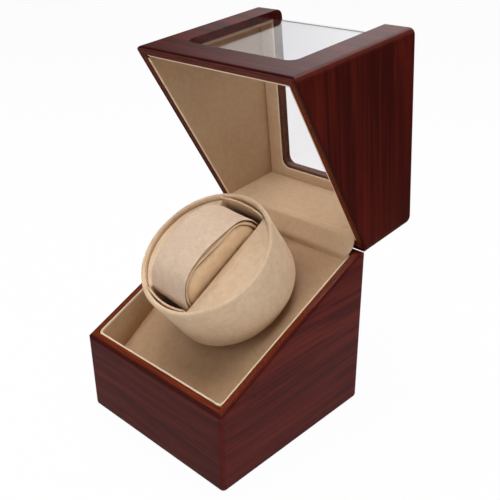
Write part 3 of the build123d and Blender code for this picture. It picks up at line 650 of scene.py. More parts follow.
@dataclass(frozen=True)
class Clear:
    """Clear polished sheet."""

    def material(self) -> bpy.types.Material:
        """Builds the finish.

        Returns:
            The material.
        """
        graph = Surface("clear_sheet")
        place = graph.position()
        smear = graph.speckle(place, 30 * MM, 2.0, 0.6)
        made = graph.finish(
            Base_Color=srgb(246, 246, 248),
            Roughness=0.01 + smear * 0.01,
            Transmission_Weight=1.0,
            IOR=1.6,
        )
        _, y, z = graph.split(graph.placed(place, CASE.opening.inverted()))
        inward = (y - CASE.inner_front).most(CASE.height - CASE.top_board - z)
        corner = 1 - inward.between(CASE.pane + 0.3 * MM, CASE.pane + 0.8 * MM)
        through = graph.node("ShaderNodeBsdfTransparent", {}, {"Color": srgb(251, 251, 252)})
        graph.mixed(corner.most(graph.ray("Shadow")), through)
        return made


@dataclass(frozen=True)
class Metal:
    """Brushed or turned metal."""

    name: str
    colour: Colour
    rough: float = 0.28

    def material(self) -> bpy.types.Material:
        """Builds the finish.

        Returns:
            The material.
        """
        graph = Surface(self.name)
        x, y, z = graph.split(graph.position())
        brushed = graph.speckle(graph.vector(x * 0.04, y, z), 0.25 * MM, 2.0, 0.6)
        stain = graph.speckle(graph.position(), 6 * MM, 3.0, 0.6)
        dark = tuple(c * 0.72 for c in self.colour[:3]) + (1.0,)
        return graph.finish(
            Base_Color=graph.blend(stain.between(0.35, 0.75) * 0.6, self.colour, dark),
            Metallic=1.0,
            Roughness=self.rough + brushed * 0.18,
            Normal=graph.relief(brushed, 0.01 * MM, 0.4),
        )


@dataclass(frozen=True)
class Moulded:
    """Moulded plastic with a fine spark-eroded texture."""

    name: str
    colour: Colour
    rough: float = 0.42

    def material(self) -> bpy.types.Material:
        """Builds the finish.

        Returns:
            The material.
        """
        graph = Surface(self.name)
        texture = graph.speckle(graph.position(), 0.3 * MM, 3.0, 0.65)
        tint = graph.speckle(graph.position(), 9 * MM, 2.0)
        pale = tuple(min(1.0, c * 1.35 + 0.004) for c in self.colour[:3]) + (1.0,)
        return graph.finish(
            Base_Color=graph.blend(tint * 0.5, self.colour, pale),
            Roughness=self.rough + texture * 0.15,
            Normal=graph.relief(texture, 0.02 * MM, 0.5),
        )


@dataclass(frozen=True)
class PlainWood:
    """Plain sanded wood of the hidden strips and the bottom board."""

    def material(self) -> bpy.types.Material:
        """Builds the finish.

        Returns:
            The material.
        """
        graph = Surface("plain_wood")
        x, y, z = graph.split(graph.position())
        rings = graph.speckle(graph.vector(x * 0.08, y, z), 4 * MM, 3.0, 0.6)
        fibre = graph.speckle(graph.vector(x * 0.03, y, z), 0.5 * MM, 2.0)
        tone = graph.blend(rings.between(0.3, 0.7), srgb(196, 160, 112), srgb(158, 116, 72))
        return graph.finish(
            Base_Color=graph.blend(fibre * 0.3, tone, srgb(120, 84, 50)),
            Roughness=0.62 + fibre * 0.15,
            Normal=graph.relief(fibre, 0.04 * MM, 0.6),
        )


LINING = Nap("lining_cloth", srgb(208, 175, 141), srgb(186, 151, 116), patches=0.15)
BASE_LINING = replace(LINING, name="base_lining_cloth", highlit_edge=Half.BASE)
LID_LINING = replace(
    LINING, name="lid_lining_cloth", highlit_edge=Half.LID,
    colour=srgb(215, 187, 157), shade=srgb(193, 163, 131),
)
HINGE_CLOTH = Nap("hinge_cloth", srgb(214, 184, 152), srgb(192, 160, 127), patches=0.15)
# Darker copy of the lid's lining for its side panels: painted shade, deep in the open lid.
LID_SIDES_SHADED = replace(
    LID_LINING, name="lid_side_cloth_shaded", colour=srgb(186, 156, 124), shade=srgb(166, 134, 102)
)
DRUM_CLOTH = Nap("drum_cloth", srgb(233, 205, 174), srgb(206, 178, 147), patches=0.25)
PILLOW_CLOTH = Nap(
    "pillow_cloth", srgb(232, 206, 182), srgb(204, 176, 152), 0.5 * MM, 0.12 * MM, 0.1, 0.45
)
PILLOW_PANEL = Nap("pillow_panel", srgb(240, 208, 170), srgb(216, 182, 144))
# Darker cloth painted as shade into the pillow's groove and seam.
SEAM_PAINTED_SHADE = Nap("seam_painted_shade", srgb(128, 92, 60), srgb(104, 72, 46))
THREAD = Nap("thread", srgb(160, 124, 88), srgb(140, 106, 74))
FELT = Nap("felt", srgb(34, 30, 28), srgb(20, 18, 17), 0.5 * MM, 0.15 * MM)
BRASS = Metal("brass", srgb(196, 158, 88))
STEEL = Metal("zinc_steel", srgb(178, 178, 182), 0.32)
BLACK = Moulded("black_plastic", srgb(22, 22, 23))
ACETAL = Moulded("white_acetal", srgb(226, 222, 210), 0.36)
BOARD = Moulded("circuit_board", srgb(18, 74, 38), 0.3)


def dress(node: str, material: bpy.types.Material) -> None:
    """Gives a carried-over piece of the frame its finish.

    Args:
        node: CAD node.
        material: Finish.
    """
    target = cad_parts[node]
    target.data.materials.clear()
    target.data.materials.append(material)


# Mesh building


SMOOTHING_ANGLE = math.radians(25)
FLAT_ANGLE = math.radians(2)
SWELL_SCALE = 10.0
SWELL_FRAMES = 20
EVENING_PASSES = 8
SWELLING = {
    "quality": 4,
    "mass": 0.4,
    "tension_stiffness": 40,
    "compression_stiffness": 40,
    "bending_stiffness": 4,
    "use_pressure": True,
    "uniform_pressure_force": 4.0,
}


def linked(name: str, data: bpy.types.ID) -> bpy.types.Object:
    """Puts an object in the scene.

    Args:
        name: Name of the object.
        data: Its mesh, lamp or camera.

    Returns:
        The object.
    """
    made = bpy.data.objects.new(name, data)
    bpy.context.scene.collection.objects.link(made)
    return made


@contextmanager
def edited(mesh: bpy.types.Mesh) -> Iterator[bmesh.types.BMesh]:
    """Opens a mesh for editing and writes it back.

    Args:
        mesh: Mesh to edit.

    Yields:
        Its editable form.
    """
    work = bmesh.new()
    work.from_mesh(mesh)
    yield work
    work.to_mesh(mesh)
    work.free()


def joined(work: bmesh.types.BMesh) -> None:
    """Merges a CAD mesh's doubles and makes its flat faces whole."""
    bmesh.ops.remove_doubles(work, verts=work.verts, dist=0.01 * MM)
    bmesh.ops.dissolve_limit(work, angle_limit=FLAT_ANGLE, verts=work.verts, edges=work.edges)


def settled(piece: bpy.types.Object, body: str, slot: str, fill: float, *nodes: str) -> None:
    """Joins a padded piece to a body.

    Args:
        piece: Padded piece.
        body: Body that carries it.
        slot: Not used.
        fill: Not used.
        nodes: CAD nodes that it stands for.
    """
    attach(piece, body)
    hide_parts(*nodes)


def solid(
    name: str,
    points: Sequence[Sequence[float]],
    faces: Sequence[Sequence[int]],
    material: bpy.types.Material,
) -> bpy.types.Object:
    """Makes a smooth piece of points and faces.

    Args:
        name: Name of the piece.
        points: Corners, in metres.
        faces: Corner numbers of each face.
        material: Finish.

    Returns:
        The piece, merged, with its faces turned outwards.
    """
    mesh = bpy.data.meshes.new(name)
    mesh.from_pydata([tuple(point) for point in points], [], [tuple(face) for face in faces])
    mesh.materials.append(material)
    piece = linked(name, mesh)
    cleaned(piece)
    return piece


def cleaned(piece: bpy.types.Object) -> None:
    """Merges a piece's doubles, turns its faces outwards and shades it smooth.

    Args:
        piece: Piece.
    """
    with edited(piece.data) as work:
        bmesh.ops.remove_doubles(work, verts=work.verts, dist=0.002 * MM)
        bmesh.ops.recalc_face_normals(work, faces=work.faces)
        for face in work.faces:
            face.smooth = True


def skin(
    rows: Sequence[Sequence[Vector]], ring: bool = True, around: bool = False
) -> tuple[list, list]:
    """Surface over rows of points.

    Args:
        rows: Rows with the same number of points.
        ring: Each row closes on itself.
        around: The last row joins the first; else the open ends are capped when rows are rings.

    Returns:
        Points and faces.
    """
    width = len(rows[0])
    points = [point for row in rows for point in row]
    spans = range(width if ring else width - 1)
    pairs = [(i, i + 1) for i in range(len(rows) - 1)]
    if around:
        pairs.append((len(rows) - 1, 0))
    faces = []
    for low, high in pairs:
        for i in spans:
            j = (i + 1) % width
            faces.append((low * width + i, low * width + j, high * width + j, high * width + i))
    if ring and not around:
        faces.append(tuple(range(width)))
        faces.append(tuple((len(rows) - 1) * width + i for i in range(width)))
    return points, faces


def evenly(points: Sequence[Vector], count: int) -> list[Vector]:
    """Evenly spaced places along a closed chain of points.

    Args:
        points: Chain.
        count: How many places.

    Returns:
        The places.
    """
    chain = list(points) + [points[0]]
    lengths = [0.0]
    for first, second in zip(chain, chain[1:]):
        lengths.append(lengths[-1] + (second - first).length)
    places = []
    leg = 0
    for i in range(count):
        goal = lengths[-1] * i / count
        while lengths[leg + 1] < goal:
            leg += 1
        share = (goal - lengths[leg]) / (lengths[leg + 1] - lengths[leg])
        places.append(chain[leg].lerp(chain[leg + 1], share))
    return places


def turned(angle: float) -> Vector:
    """Point at an angle on a circle of radius 1."""
    return Vector((math.cos(angle), math.sin(angle)))


def arc(radius: float, first: float, last: float, count: int) -> list[Vector]:
    """Points of an arc without its end."""
    return [turned(first + (last - first) * i / count) * radius for i in range(count)]


def eased_line(points: Sequence[Vector], eases: Sequence[float]) -> list[Vector]:
    """Line through points, with its corners eased.

    Args:
        points: Its ends and corners.
        eases: How far from each corner the curve starts.

    Returns:
        The points of the line.
    """
    line = [points[0]]
    for before, corner, after, ease in zip(points, points[1:], points[2:], eases):
        first = corner + (before - corner).normalized() * ease
        last = corner + (after - corner).normalized() * ease
        run = line[-1]
        line += [run.lerp(first, i / 6) for i in range(1, 7)]
        for i in range(1, 7):
            t = i / 6
            line.append(first * (1 - t) ** 2 + corner * (2 * t * (1 - t)) + last * t**2)
    run = line[-1]
    return line + [run.lerp(points[-1], i / 5) for i in range(1, 6)]


def closed_curve(points: Sequence[tuple[float, float]], count: int) -> list[Vector]:
    """Evenly spaced places on a smooth closed curve through a few points.

    Args:
        points: A few points.
        count: How many places.

    Returns:
        The places.
    """
    fine = []
    total = len(points)
    steps = 24
    for i in range(total):
        a, b, c, d = (Vector(points[(i + k) % total]) for k in (-1, 0, 1, 2))
        for step in range(steps):
            t = step / steps
            bend = 2 * a - 5 * b + 4 * c - d
            twist = 3 * b - a - 3 * c + d
            fine.append(0.5 * (2 * b + (c - a) * t + bend * t**2 + twist * t**3))
    return evenly(fine, count)


def softened(loop: Sequence[Vector], passes: int) -> list[Vector]:
    """A closed chain of points with its corners eased.

    Args:
        loop: Chain.
        passes: How often it is eased.

    Returns:
        The eased chain.
    """
    places = list(loop)
    for _ in range(passes):
        ahead = places[1:] + places[:1]
        behind = places[-1:] + places[:-1]
        places = [(a + b + 2 * p) / 4 for a, p, b in zip(behind, places, ahead)]
    return places


def inset(loop: Sequence[Vector], distance: float) -> list[Vector]:
    """A closed chain of points in a plane, drawn in by a distance.

    Args:
        loop: Chain.
        distance: Distance.

    Returns:
        The smaller chain.
    """
    area = sum(a.x * b.y - b.x * a.y for a, b in zip(loop, list(loop[1:]) + [loop[0]]))
    side = 1.0 if area > 0 else -1.0
    places = []
    for i, point in enumerate(loop):
        along = loop[(i + 1) % len(loop)] - loop[i - 1]
        across = Vector((-along.y, along.x)).normalized() * side
        places.append(point + across * distance)
    return places


def ruffle(piece: bpy.types.Object, size: float, height: float, seed: float = 0.0) -> None:
    """Moves the points of a piece along their normals by a smooth random height.

    Args:
        piece: Piece.
        size: Size of the waves.
        height: Greatest height.
        seed: Where the noise starts.
    """
    start = Vector((seed, 2 * seed, 3 * seed))
    normals = [vertex.normal.copy() for vertex in piece.data.vertices]
    places: list[float] = []
    for vertex, normal in zip(piece.data.vertices, normals):
        places.extend(vertex.co + normal * (noise.noise(vertex.co / size + start) * height))
    piece.data.vertices.foreach_set("co", places)
    piece.data.update()


def darkened(
    piece: bpy.types.Object, around: int, bands: Sequence[int], material: bpy.types.Material
) -> None:
    """Gives the bands between two rings of a skinned piece a second finish.

    Args:
        piece: Piece.
        around: Points of a ring.
        bands: Numbers of the bands.
        material: Second finish.
    """
    piece.data.materials.append(material)
    for band in bands:
        for i in range(around):
            piece.data.polygons[band * around + i].material_index = 1


def copied(node: str) -> bpy.types.Mesh:
    """Mesh of a CAD node, merged, with its flat faces whole.

    Args:
        node: CAD node.

    Returns:
        A copy of its mesh.
    """
    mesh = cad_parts[node].data.copy()
    mesh.materials.clear()
    with edited(mesh) as work:
        joined(work)
    return mesh


def pierced(mesh: bpy.types.Mesh, cutter: bpy.types.Mesh) -> bpy.types.Mesh:
    """The mesh with the room of another mesh taken out of it.

    Args:
        mesh: Mesh.
        cutter: Room.

    Returns:
        The cut mesh.
    """
    made = [linked("room", part) for part in (mesh, cutter)]
    cut = made[0].modifiers.new("cut", "BOOLEAN")
    cut.operation = "DIFFERENCE"
    cut.solver = "EXACT"
    cut.object = made[1]
    seen = made[0].evaluated_get(bpy.context.evaluated_depsgraph_get())
    result = bpy.data.meshes.new_from_object(seen)
    for thing in made:
        bpy.data.objects.remove(thing)
    return result


def thinned(mesh: bpy.types.Mesh, level: float, inward: float) -> None:
    """Draws in the inner corners of the lid's linings where they meet the seam.

    Args:
        mesh: Panel, with the lid open.
        level: How near the seam a corner is.
        inward: How far it moves.
    """
    closing = CASE.opening.inverted()
    for vertex in mesh.vertices:
        place = closing @ vertex.co
        if abs(place.z - CASE.seam(place.y)) > level:
            continue
        if abs(abs(place.x) - (CASE.inner_x - CASE.liner)) < 0.3 * MM:
            place.x += math.copysign(inward, place.x)
        if abs(place.y - (CASE.inner_front + CASE.liner)) < 0.3 * MM:
            place.y -= inward
        if abs(place.y - (CASE.inner_rear - CASE.liner)) < 0.3 * MM:
            place.y += inward
        vertex.co = CASE.opening @ place


def softened_panel(
    name: str,
    mesh: bpy.types.Mesh,
    round_off: float,
    material: bpy.types.Material,
) -> bpy.types.Object:
    """Makes a cloth-covered panel whose edges are rounded.

    Args:
        name: Name of the piece.
        mesh: Sharp panel.
        round_off: Radius of its edges.
        material: Finish.

    Returns:
        The panel.
    """
    mesh.name = name
    mesh.materials.clear()
    mesh.materials.append(material)
    with edited(mesh) as work:
        joined(work)
        sharp = [
            edge for edge in work.edges
            if len(edge.link_faces) == 2 and edge.calc_face_angle() > SMOOTHING_ANGLE
        ]
        bmesh.ops.bevel(
            work, geom=sharp, offset=round_off, offset_type="OFFSET", segments=3, profile=0.5,
            affect="EDGES", clamp_overlap=True,
        )
    piece = linked(name, mesh)
    cleaned(piece)
    weigh = piece.modifiers.new("weigh", "WEIGHTED_NORMAL")
    weigh.keep_sharp = True
    return piece


def evened(mesh: bpy.types.Mesh, moves: Sequence[Vector]) -> list[Vector]:
    """Evens the moves of a mesh's points out over their neighbours.

    Args:
        mesh: Mesh whose edges say which points are neighbours.
        moves: Move of each point.

    Returns:
        The evened moves.
    """
    near: list[list[int]] = [[] for _ in moves]
    for edge in mesh.edges:
        first, second = edge.vertices
        near[first].append(second)
        near[second].append(first)
    for _ in range(EVENING_PASSES):
        moves = [
            move.lerp(sum((moves[i] for i in around), Vector()) / len(around), 0.5)
            for move, around in zip(moves, near)
        ]
    return list(moves)


def plumped(piece: bpy.types.Object, held: Sequence[float], most: float) -> None:
    """Swells a padded piece with a short cloth simulation.

    Args:
        piece: Closed piece, not yet parented.
        held: How firmly each point is held, from 0 to 1.
        most: How far a point may move.
    """
    mesh = piece.data.copy()
    mesh.transform(Matrix.Scale(SWELL_SCALE, 4))
    stand_in = linked("swelling", mesh)
    pins = stand_in.vertex_groups.new(name="held")
    for i, share in enumerate(held):
        pins.add([i], share, "REPLACE")
    cloth = stand_in.modifiers.new("swell", "CLOTH")
    for key, value in SWELLING.items():
        setattr(cloth.settings, key, value)
    cloth.settings.vertex_group_mass = pins.name
    cloth.settings.effector_weights.gravity = 0.0
    cloth.collision_settings.use_collision = False
    cloth.point_cache.frame_end = SWELL_FRAMES
    scene = bpy.context.scene
    for step in range(1, SWELL_FRAMES + 1):
        scene.frame_set(step)
    seen = stand_in.evaluated_get(bpy.context.evaluated_depsgraph_get())
    moves = []
    for vertex, swollen in zip(piece.data.vertices, seen.data.vertices):
        move = swollen.co / SWELL_SCALE - vertex.co
        moves.append(move.normalized() * min(move.length, most))
    places: list[float] = []
    for vertex, move in zip(piece.data.vertices, evened(piece.data, moves)):
        places.extend(vertex.co + move)
    bpy.data.objects.remove(stand_in)
    scene.frame_set(1)
    piece.data.vertices.foreach_set("co", places)
    piece.data.update()


class StitchedSeam:
    """Row of stitches along a closed path, made with Geometry Nodes."""

    def __init__(self, pitch: float, thread: float, slender: float) -> None:
        """Builds the node tree.

        Args:
            pitch: Way from one stitch to the next.
            thread: Radius of the thread.
            slender: Length of a stitch over its width.
        """
        self.tree = bpy.data.node_groups.new("stitched_seam", "GeometryNodeTree")
        self.inputs: dict[str, tuple[str, object]] = {}
        for name, kind, value in (
            ("Path", "Geometry", None), ("Pitch", "Float", pitch),
            ("Thread radius", "Float", thread), ("Slenderness", "Float", slender),
            ("Finish", "Material", None),
        ):
            kind = f"NodeSocket{kind}"
            socket = self.tree.interface.new_socket(name, in_out="INPUT", socket_type=kind)
            self.inputs[name] = (socket.identifier, value)
        self.tree.interface.new_socket(
            "Stitches", in_out="OUTPUT", socket_type="NodeSocketGeometry"
        )
        graph = Graph(self.tree)
        given = graph.node("NodeGroupInput", {}, {}).outputs
        path = graph.node("GeometryNodeMeshToCurve", {}, {"Mesh": given["Path"]})
        inputs = {"Curve": path.outputs["Curve"], "Length": given["Pitch"]}
        even = graph.node("GeometryNodeResampleCurve", {"mode": "LENGTH"}, inputs)
        inputs = {"Segments": 8, "Rings": 5, "Radius": given["Thread radius"]}
        bead = graph.node("GeometryNodeMeshUVSphere", {}, inputs)
        tangent = graph.node("GeometryNodeInputTangent", {}, {}).outputs["Tangent"]
        turn = graph.node("FunctionNodeAlignRotationToVector", {"axis": "Z"}, {"Vector": tangent})
        inputs = {"X": 1.0, "Y": 1.0, "Z": given["Slenderness"]}
        stretch = graph.node("ShaderNodeCombineXYZ", {}, inputs)
        laid = graph.node("GeometryNodeInstanceOnPoints", {}, {
            "Points": even.outputs["Curve"], "Instance": bead.outputs["Mesh"],
            "Rotation": turn.outputs["Rotation"], "Scale": stretch.outputs["Vector"],
        })
        inputs = {"Geometry": laid.outputs["Instances"]}
        real = graph.node("GeometryNodeRealizeInstances", {}, inputs)
        inputs = {"Geometry": real.outputs["Geometry"]}
        smooth = graph.node("GeometryNodeSetShadeSmooth", {}, inputs)
        inputs = {"Geometry": smooth.outputs["Geometry"], "Material": given["Finish"]}
        done = graph.node("GeometryNodeSetMaterial", {}, inputs)
        graph.node("NodeGroupOutput", {}, {"Stitches": done.outputs["Geometry"]})

    def along(
        self, name: str, paths: Sequence[Sequence[Vector]], finish: bpy.types.Material
    ) -> bpy.types.Object:
        """Sews stitches along closed paths.

        Args:
            name: Name of the piece.
            paths: Points of each path.
            finish: Thread.

        Returns:
            The stitches as one plain mesh.
        """
        points: list[Vector] = []
        edges: list[tuple[int, int]] = []
        for path in paths:
            start = len(points)
            points += path
            edges += [(start + i, start + (i + 1) % len(path)) for i in range(len(path))]
        guide = bpy.data.meshes.new(name)
        guide.from_pydata([tuple(point) for point in points], edges, [])
        piece = linked(name, guide)
        sewn = piece.modifiers.new("sewn", "NODES")
        sewn.node_group = self.tree
        for identifier, value in self.inputs.values():
            if value is not None:
                sewn[identifier] = value
        sewn[self.inputs["Finish"][0]] = finish
        seen = piece.evaluated_get(bpy.context.evaluated_depsgraph_get())
        result = bpy.data.meshes.new_from_object(seen)
        piece.modifiers.clear()
        piece.data = result
        return piece


# Studio


@dataclass
class Studio:
    """Camera, light, floor and background."""

    place: Point = (301.9 * MM, -284.9 * MM, 316.4 * MM)
    right: Point = (0.7280, 0.6856, -0.0027)
    down: Point = (0.3053, -0.3277, -0.8941)
    ahead: Point = (-0.6138, 0.6500, -0.4479)
    sensor: float = 36.0
    lens: float = 742.86 * 36.0 / 500
    shift: tuple[float, float] = (-0.0228, 0.0181)
    surround: float = 0.03
    mirrored: tuple[tuple[float, float], ...] = (
        (-1.0, 0.1), (-0.76, 0.1), (-0.60, 1.0), (-0.35, 0.8), (0.0, 0.25), (1.0, 0.2),
    )
    mirrored_heights: tuple[float, float] = (0.46, 0.72)
    mirrored_strengths: tuple[float, float] = (0.85, 0.2)
    floor_edge: float = 4.0
    floor_glow: float = 0.97
    floor_mirrored: float = 0.2
    lamps: tuple[tuple[str, Point, float, float, bool], ...] = (
        ("top", (0.0, 0.0, 1.2), 0.8, 10.8, False),
        ("left", (-0.8, 0.0, 0.9), 0.7, 2.6, False),
        ("front", (0.0, -0.85, 0.9), 0.7, 1.8, True),
        ("front_low", (0.0, -1.15, 0.25), 0.7, 2.0, True),
        ("rear", (0.0, 0.75, 1.0), 0.7, 1.8, True),
        ("right_low", (1.15, 0.1, 0.18), 0.7, 6.0, False),
    )

    def camera(self) -> None:
        """Places the camera where the photo was taken."""
        data = bpy.data.cameras.new("camera")
        data.sensor_width = self.sensor
        data.lens = self.lens
        data.shift_x, data.shift_y = self.shift
        data.clip_start = 0.01
        data.clip_end = 20.0
        camera = linked("camera", data)
        columns = (Vector(self.right), -Vector(self.down), -Vector(self.ahead))
        turn = Matrix([axis.normalized() for axis in columns]).transposed()
        camera.matrix_world = Matrix.Translation(self.place) @ turn.to_4x4()
        bpy.context.scene.camera = camera

    @staticmethod
    def lamp(name: str, place: Point, size: float, power: float, mirrored: bool) -> None:
        """Adds one square soft lamp that faces the case.

        Args:
            name: Name of the lamp.
            place: Where it hangs.
            size: Length of its side.
            power: Watts.
            mirrored: Whether glossy surfaces show it.
        """
        data = bpy.data.lights.new(name, "AREA")
        data.shape = "SQUARE"
        data.size = size
        data.energy = power
        lamp = linked(name, data)
        turn = (Vector((0.0, 0.0, 0.1)) - Vector(place)).to_track_quat("-Z", "Y")
        lamp.matrix_world = Matrix.Translation(place) @ turn.to_matrix().to_4x4()
        lamp.visible_glossy = mirrored

    def world(self) -> None:
        """White background, seen and mirrored, that lights the case only a little."""
        world = bpy.data.worlds.new("surround")
        world.use_nodes = True
        graph = Graph(world.node_tree)
        way = graph.node("ShaderNodeTexCoord", {}, {}).outputs["Generated"]
        x, _, z = graph.split(Term(graph, way))
        stops = [((place + 1) / 2, (share, share, share, 1.0)) for place, share in self.mirrored]
        side = graph.node("ShaderNodeValToRGB", {"stops": stops}, {"Fac": x * 0.5 + 0.5})
        names = ("From Min", "From Max", "To Min", "To Max")
        ends = dict(zip(names, (*self.mirrored_heights, *self.mirrored_strengths)))
        high = graph.node("ShaderNodeMapRange", {}, {"Value": z, **ends})
        shown = Term(graph, side.outputs["Color"]) * Term(graph, high.outputs["Result"])
        seen = graph.ray("Camera").most(graph.ray("Transmission"))
        strength = (graph.ray("Glossy") * shown).most(seen).most(self.surround)
        inputs = {"Color": WHITE, "Strength": strength}
        background = graph.node("ShaderNodeBackground", {}, inputs)
        graph.node("ShaderNodeOutputWorld", {}, {"Surface": background.outputs[0]})
        bpy.context.scene.world = world

    def floor(self) -> None:
        """Pale floor that shows white, keeps a faint shadow and darkens far to the right."""
        edge = self.floor_edge
        corners = [(-edge, -edge, 0), (edge, -edge, 0), (edge, edge, 0), (-edge, edge, 0)]
        mesh = bpy.data.meshes.new("floor")
        mesh.from_pydata(corners, [], [(0, 1, 2, 3)])
        floor = linked("floor", mesh)
        graph = Surface("floor")
        graph.finish(Base_Color=srgb(235, 235, 235), Roughness=0.9)
        seen = graph.ray("Camera").most(graph.ray("Transmission"))
        gloss = graph.ray("Glossy")
        x = graph.split(graph.position())[0]
        sheet = (1 - x.between(0.10, 0.24)) * self.floor_mirrored
        glow = graph.node("ShaderNodeEmission", {}, {"Strength": seen.most(gloss * sheet)})
        graph.mixed((seen * self.floor_glow).most(gloss), glow)
        mesh.materials.append(graph.material)

    def build(self) -> None:
        """Sets up the whole studio."""
        self.camera()
        self.world()
        self.floor()
        for lamp in self.lamps:
            self.lamp(*lamp)
        bpy.context.scene.view_settings.view_transform = "Standard"


# Case


@dataclass
class Case:
    """Veneered boards of the base and the lid, and the clear window."""

    boards: dict[str, tuple[Half, Grain]] = field(
        default_factory=lambda: {
            "base_front_board": (Half.BASE, Grain.ACROSS),
            "base_rear_board": (Half.BASE, Grain.ACROSS),
            "base_left_board": (Half.BASE, Grain.DEPTH),
            "base_right_board": (Half.BASE, Grain.DEPTH),
            "lid_front_frame": (Half.LID, Grain.ACROSS),
            "lid_top_frame": (Half.LID, Grain.ACROSS),
            "lid_rear_board": (Half.LID, Grain.ACROSS),
            "lid_left_board": (Half.LID, Grain.DEPTH),
            "lid_right_board": (Half.LID, Grain.DEPTH),
        }
    )

    def build(self) -> None:
        """Dresses every board and pane."""
        made: dict[tuple[Half, Grain], bpy.types.Material] = {}
        for node, key in self.boards.items():
            if key not in made:
                made[key] = Veneer(*key).material()
            dress(node, made[key])
        clear = Clear().material()
        for node in ("window_front_pane", "window_top_pane"):
            dress(node, clear)
        wood = PlainWood().material()
        for node in ("bottom_board", "corner_blocks", "deck_cleats"):
            dress(node, wood)
        dress("felt_pad", FELT.material())


@dataclass
class Hardware:
    """Finishes of the hinges, the drive and the controls."""

    finishes: tuple[tuple[Metal | Moulded, tuple[str, ...]], ...] = (
        (BRASS, (
            "hinge_base_leaves", "hinge_pins", "hinge_base_screws", "hinge_lid_leaves",
            "hinge_lid_screws", "shaft_bushes", "motor_pinion",
        )),
        (STEEL, (
            "gear_plate", "plate_standoffs", "plate_screws", "idler_axle", "motor_gearbox",
            "motor_can", "motor_screws", "control_screws", "drum_shaft", "bottom_screws",
        )),
        (BLACK, (
            "control_plate", "dc_jack", "rocker_housing", "mode_switch_body", "power_rocker",
            "mode_slider",
        )),
        (ACETAL, ("drum_hub", "drum_gear", "idler_gear")),
        (BOARD, ("control_board",)),
    )

    def build(self) -> None:
        """Dresses every metal and plastic piece."""
        for finish, nodes in self.finishes:
            material = finish.material()
            for node in nodes:
                dress(node, material)


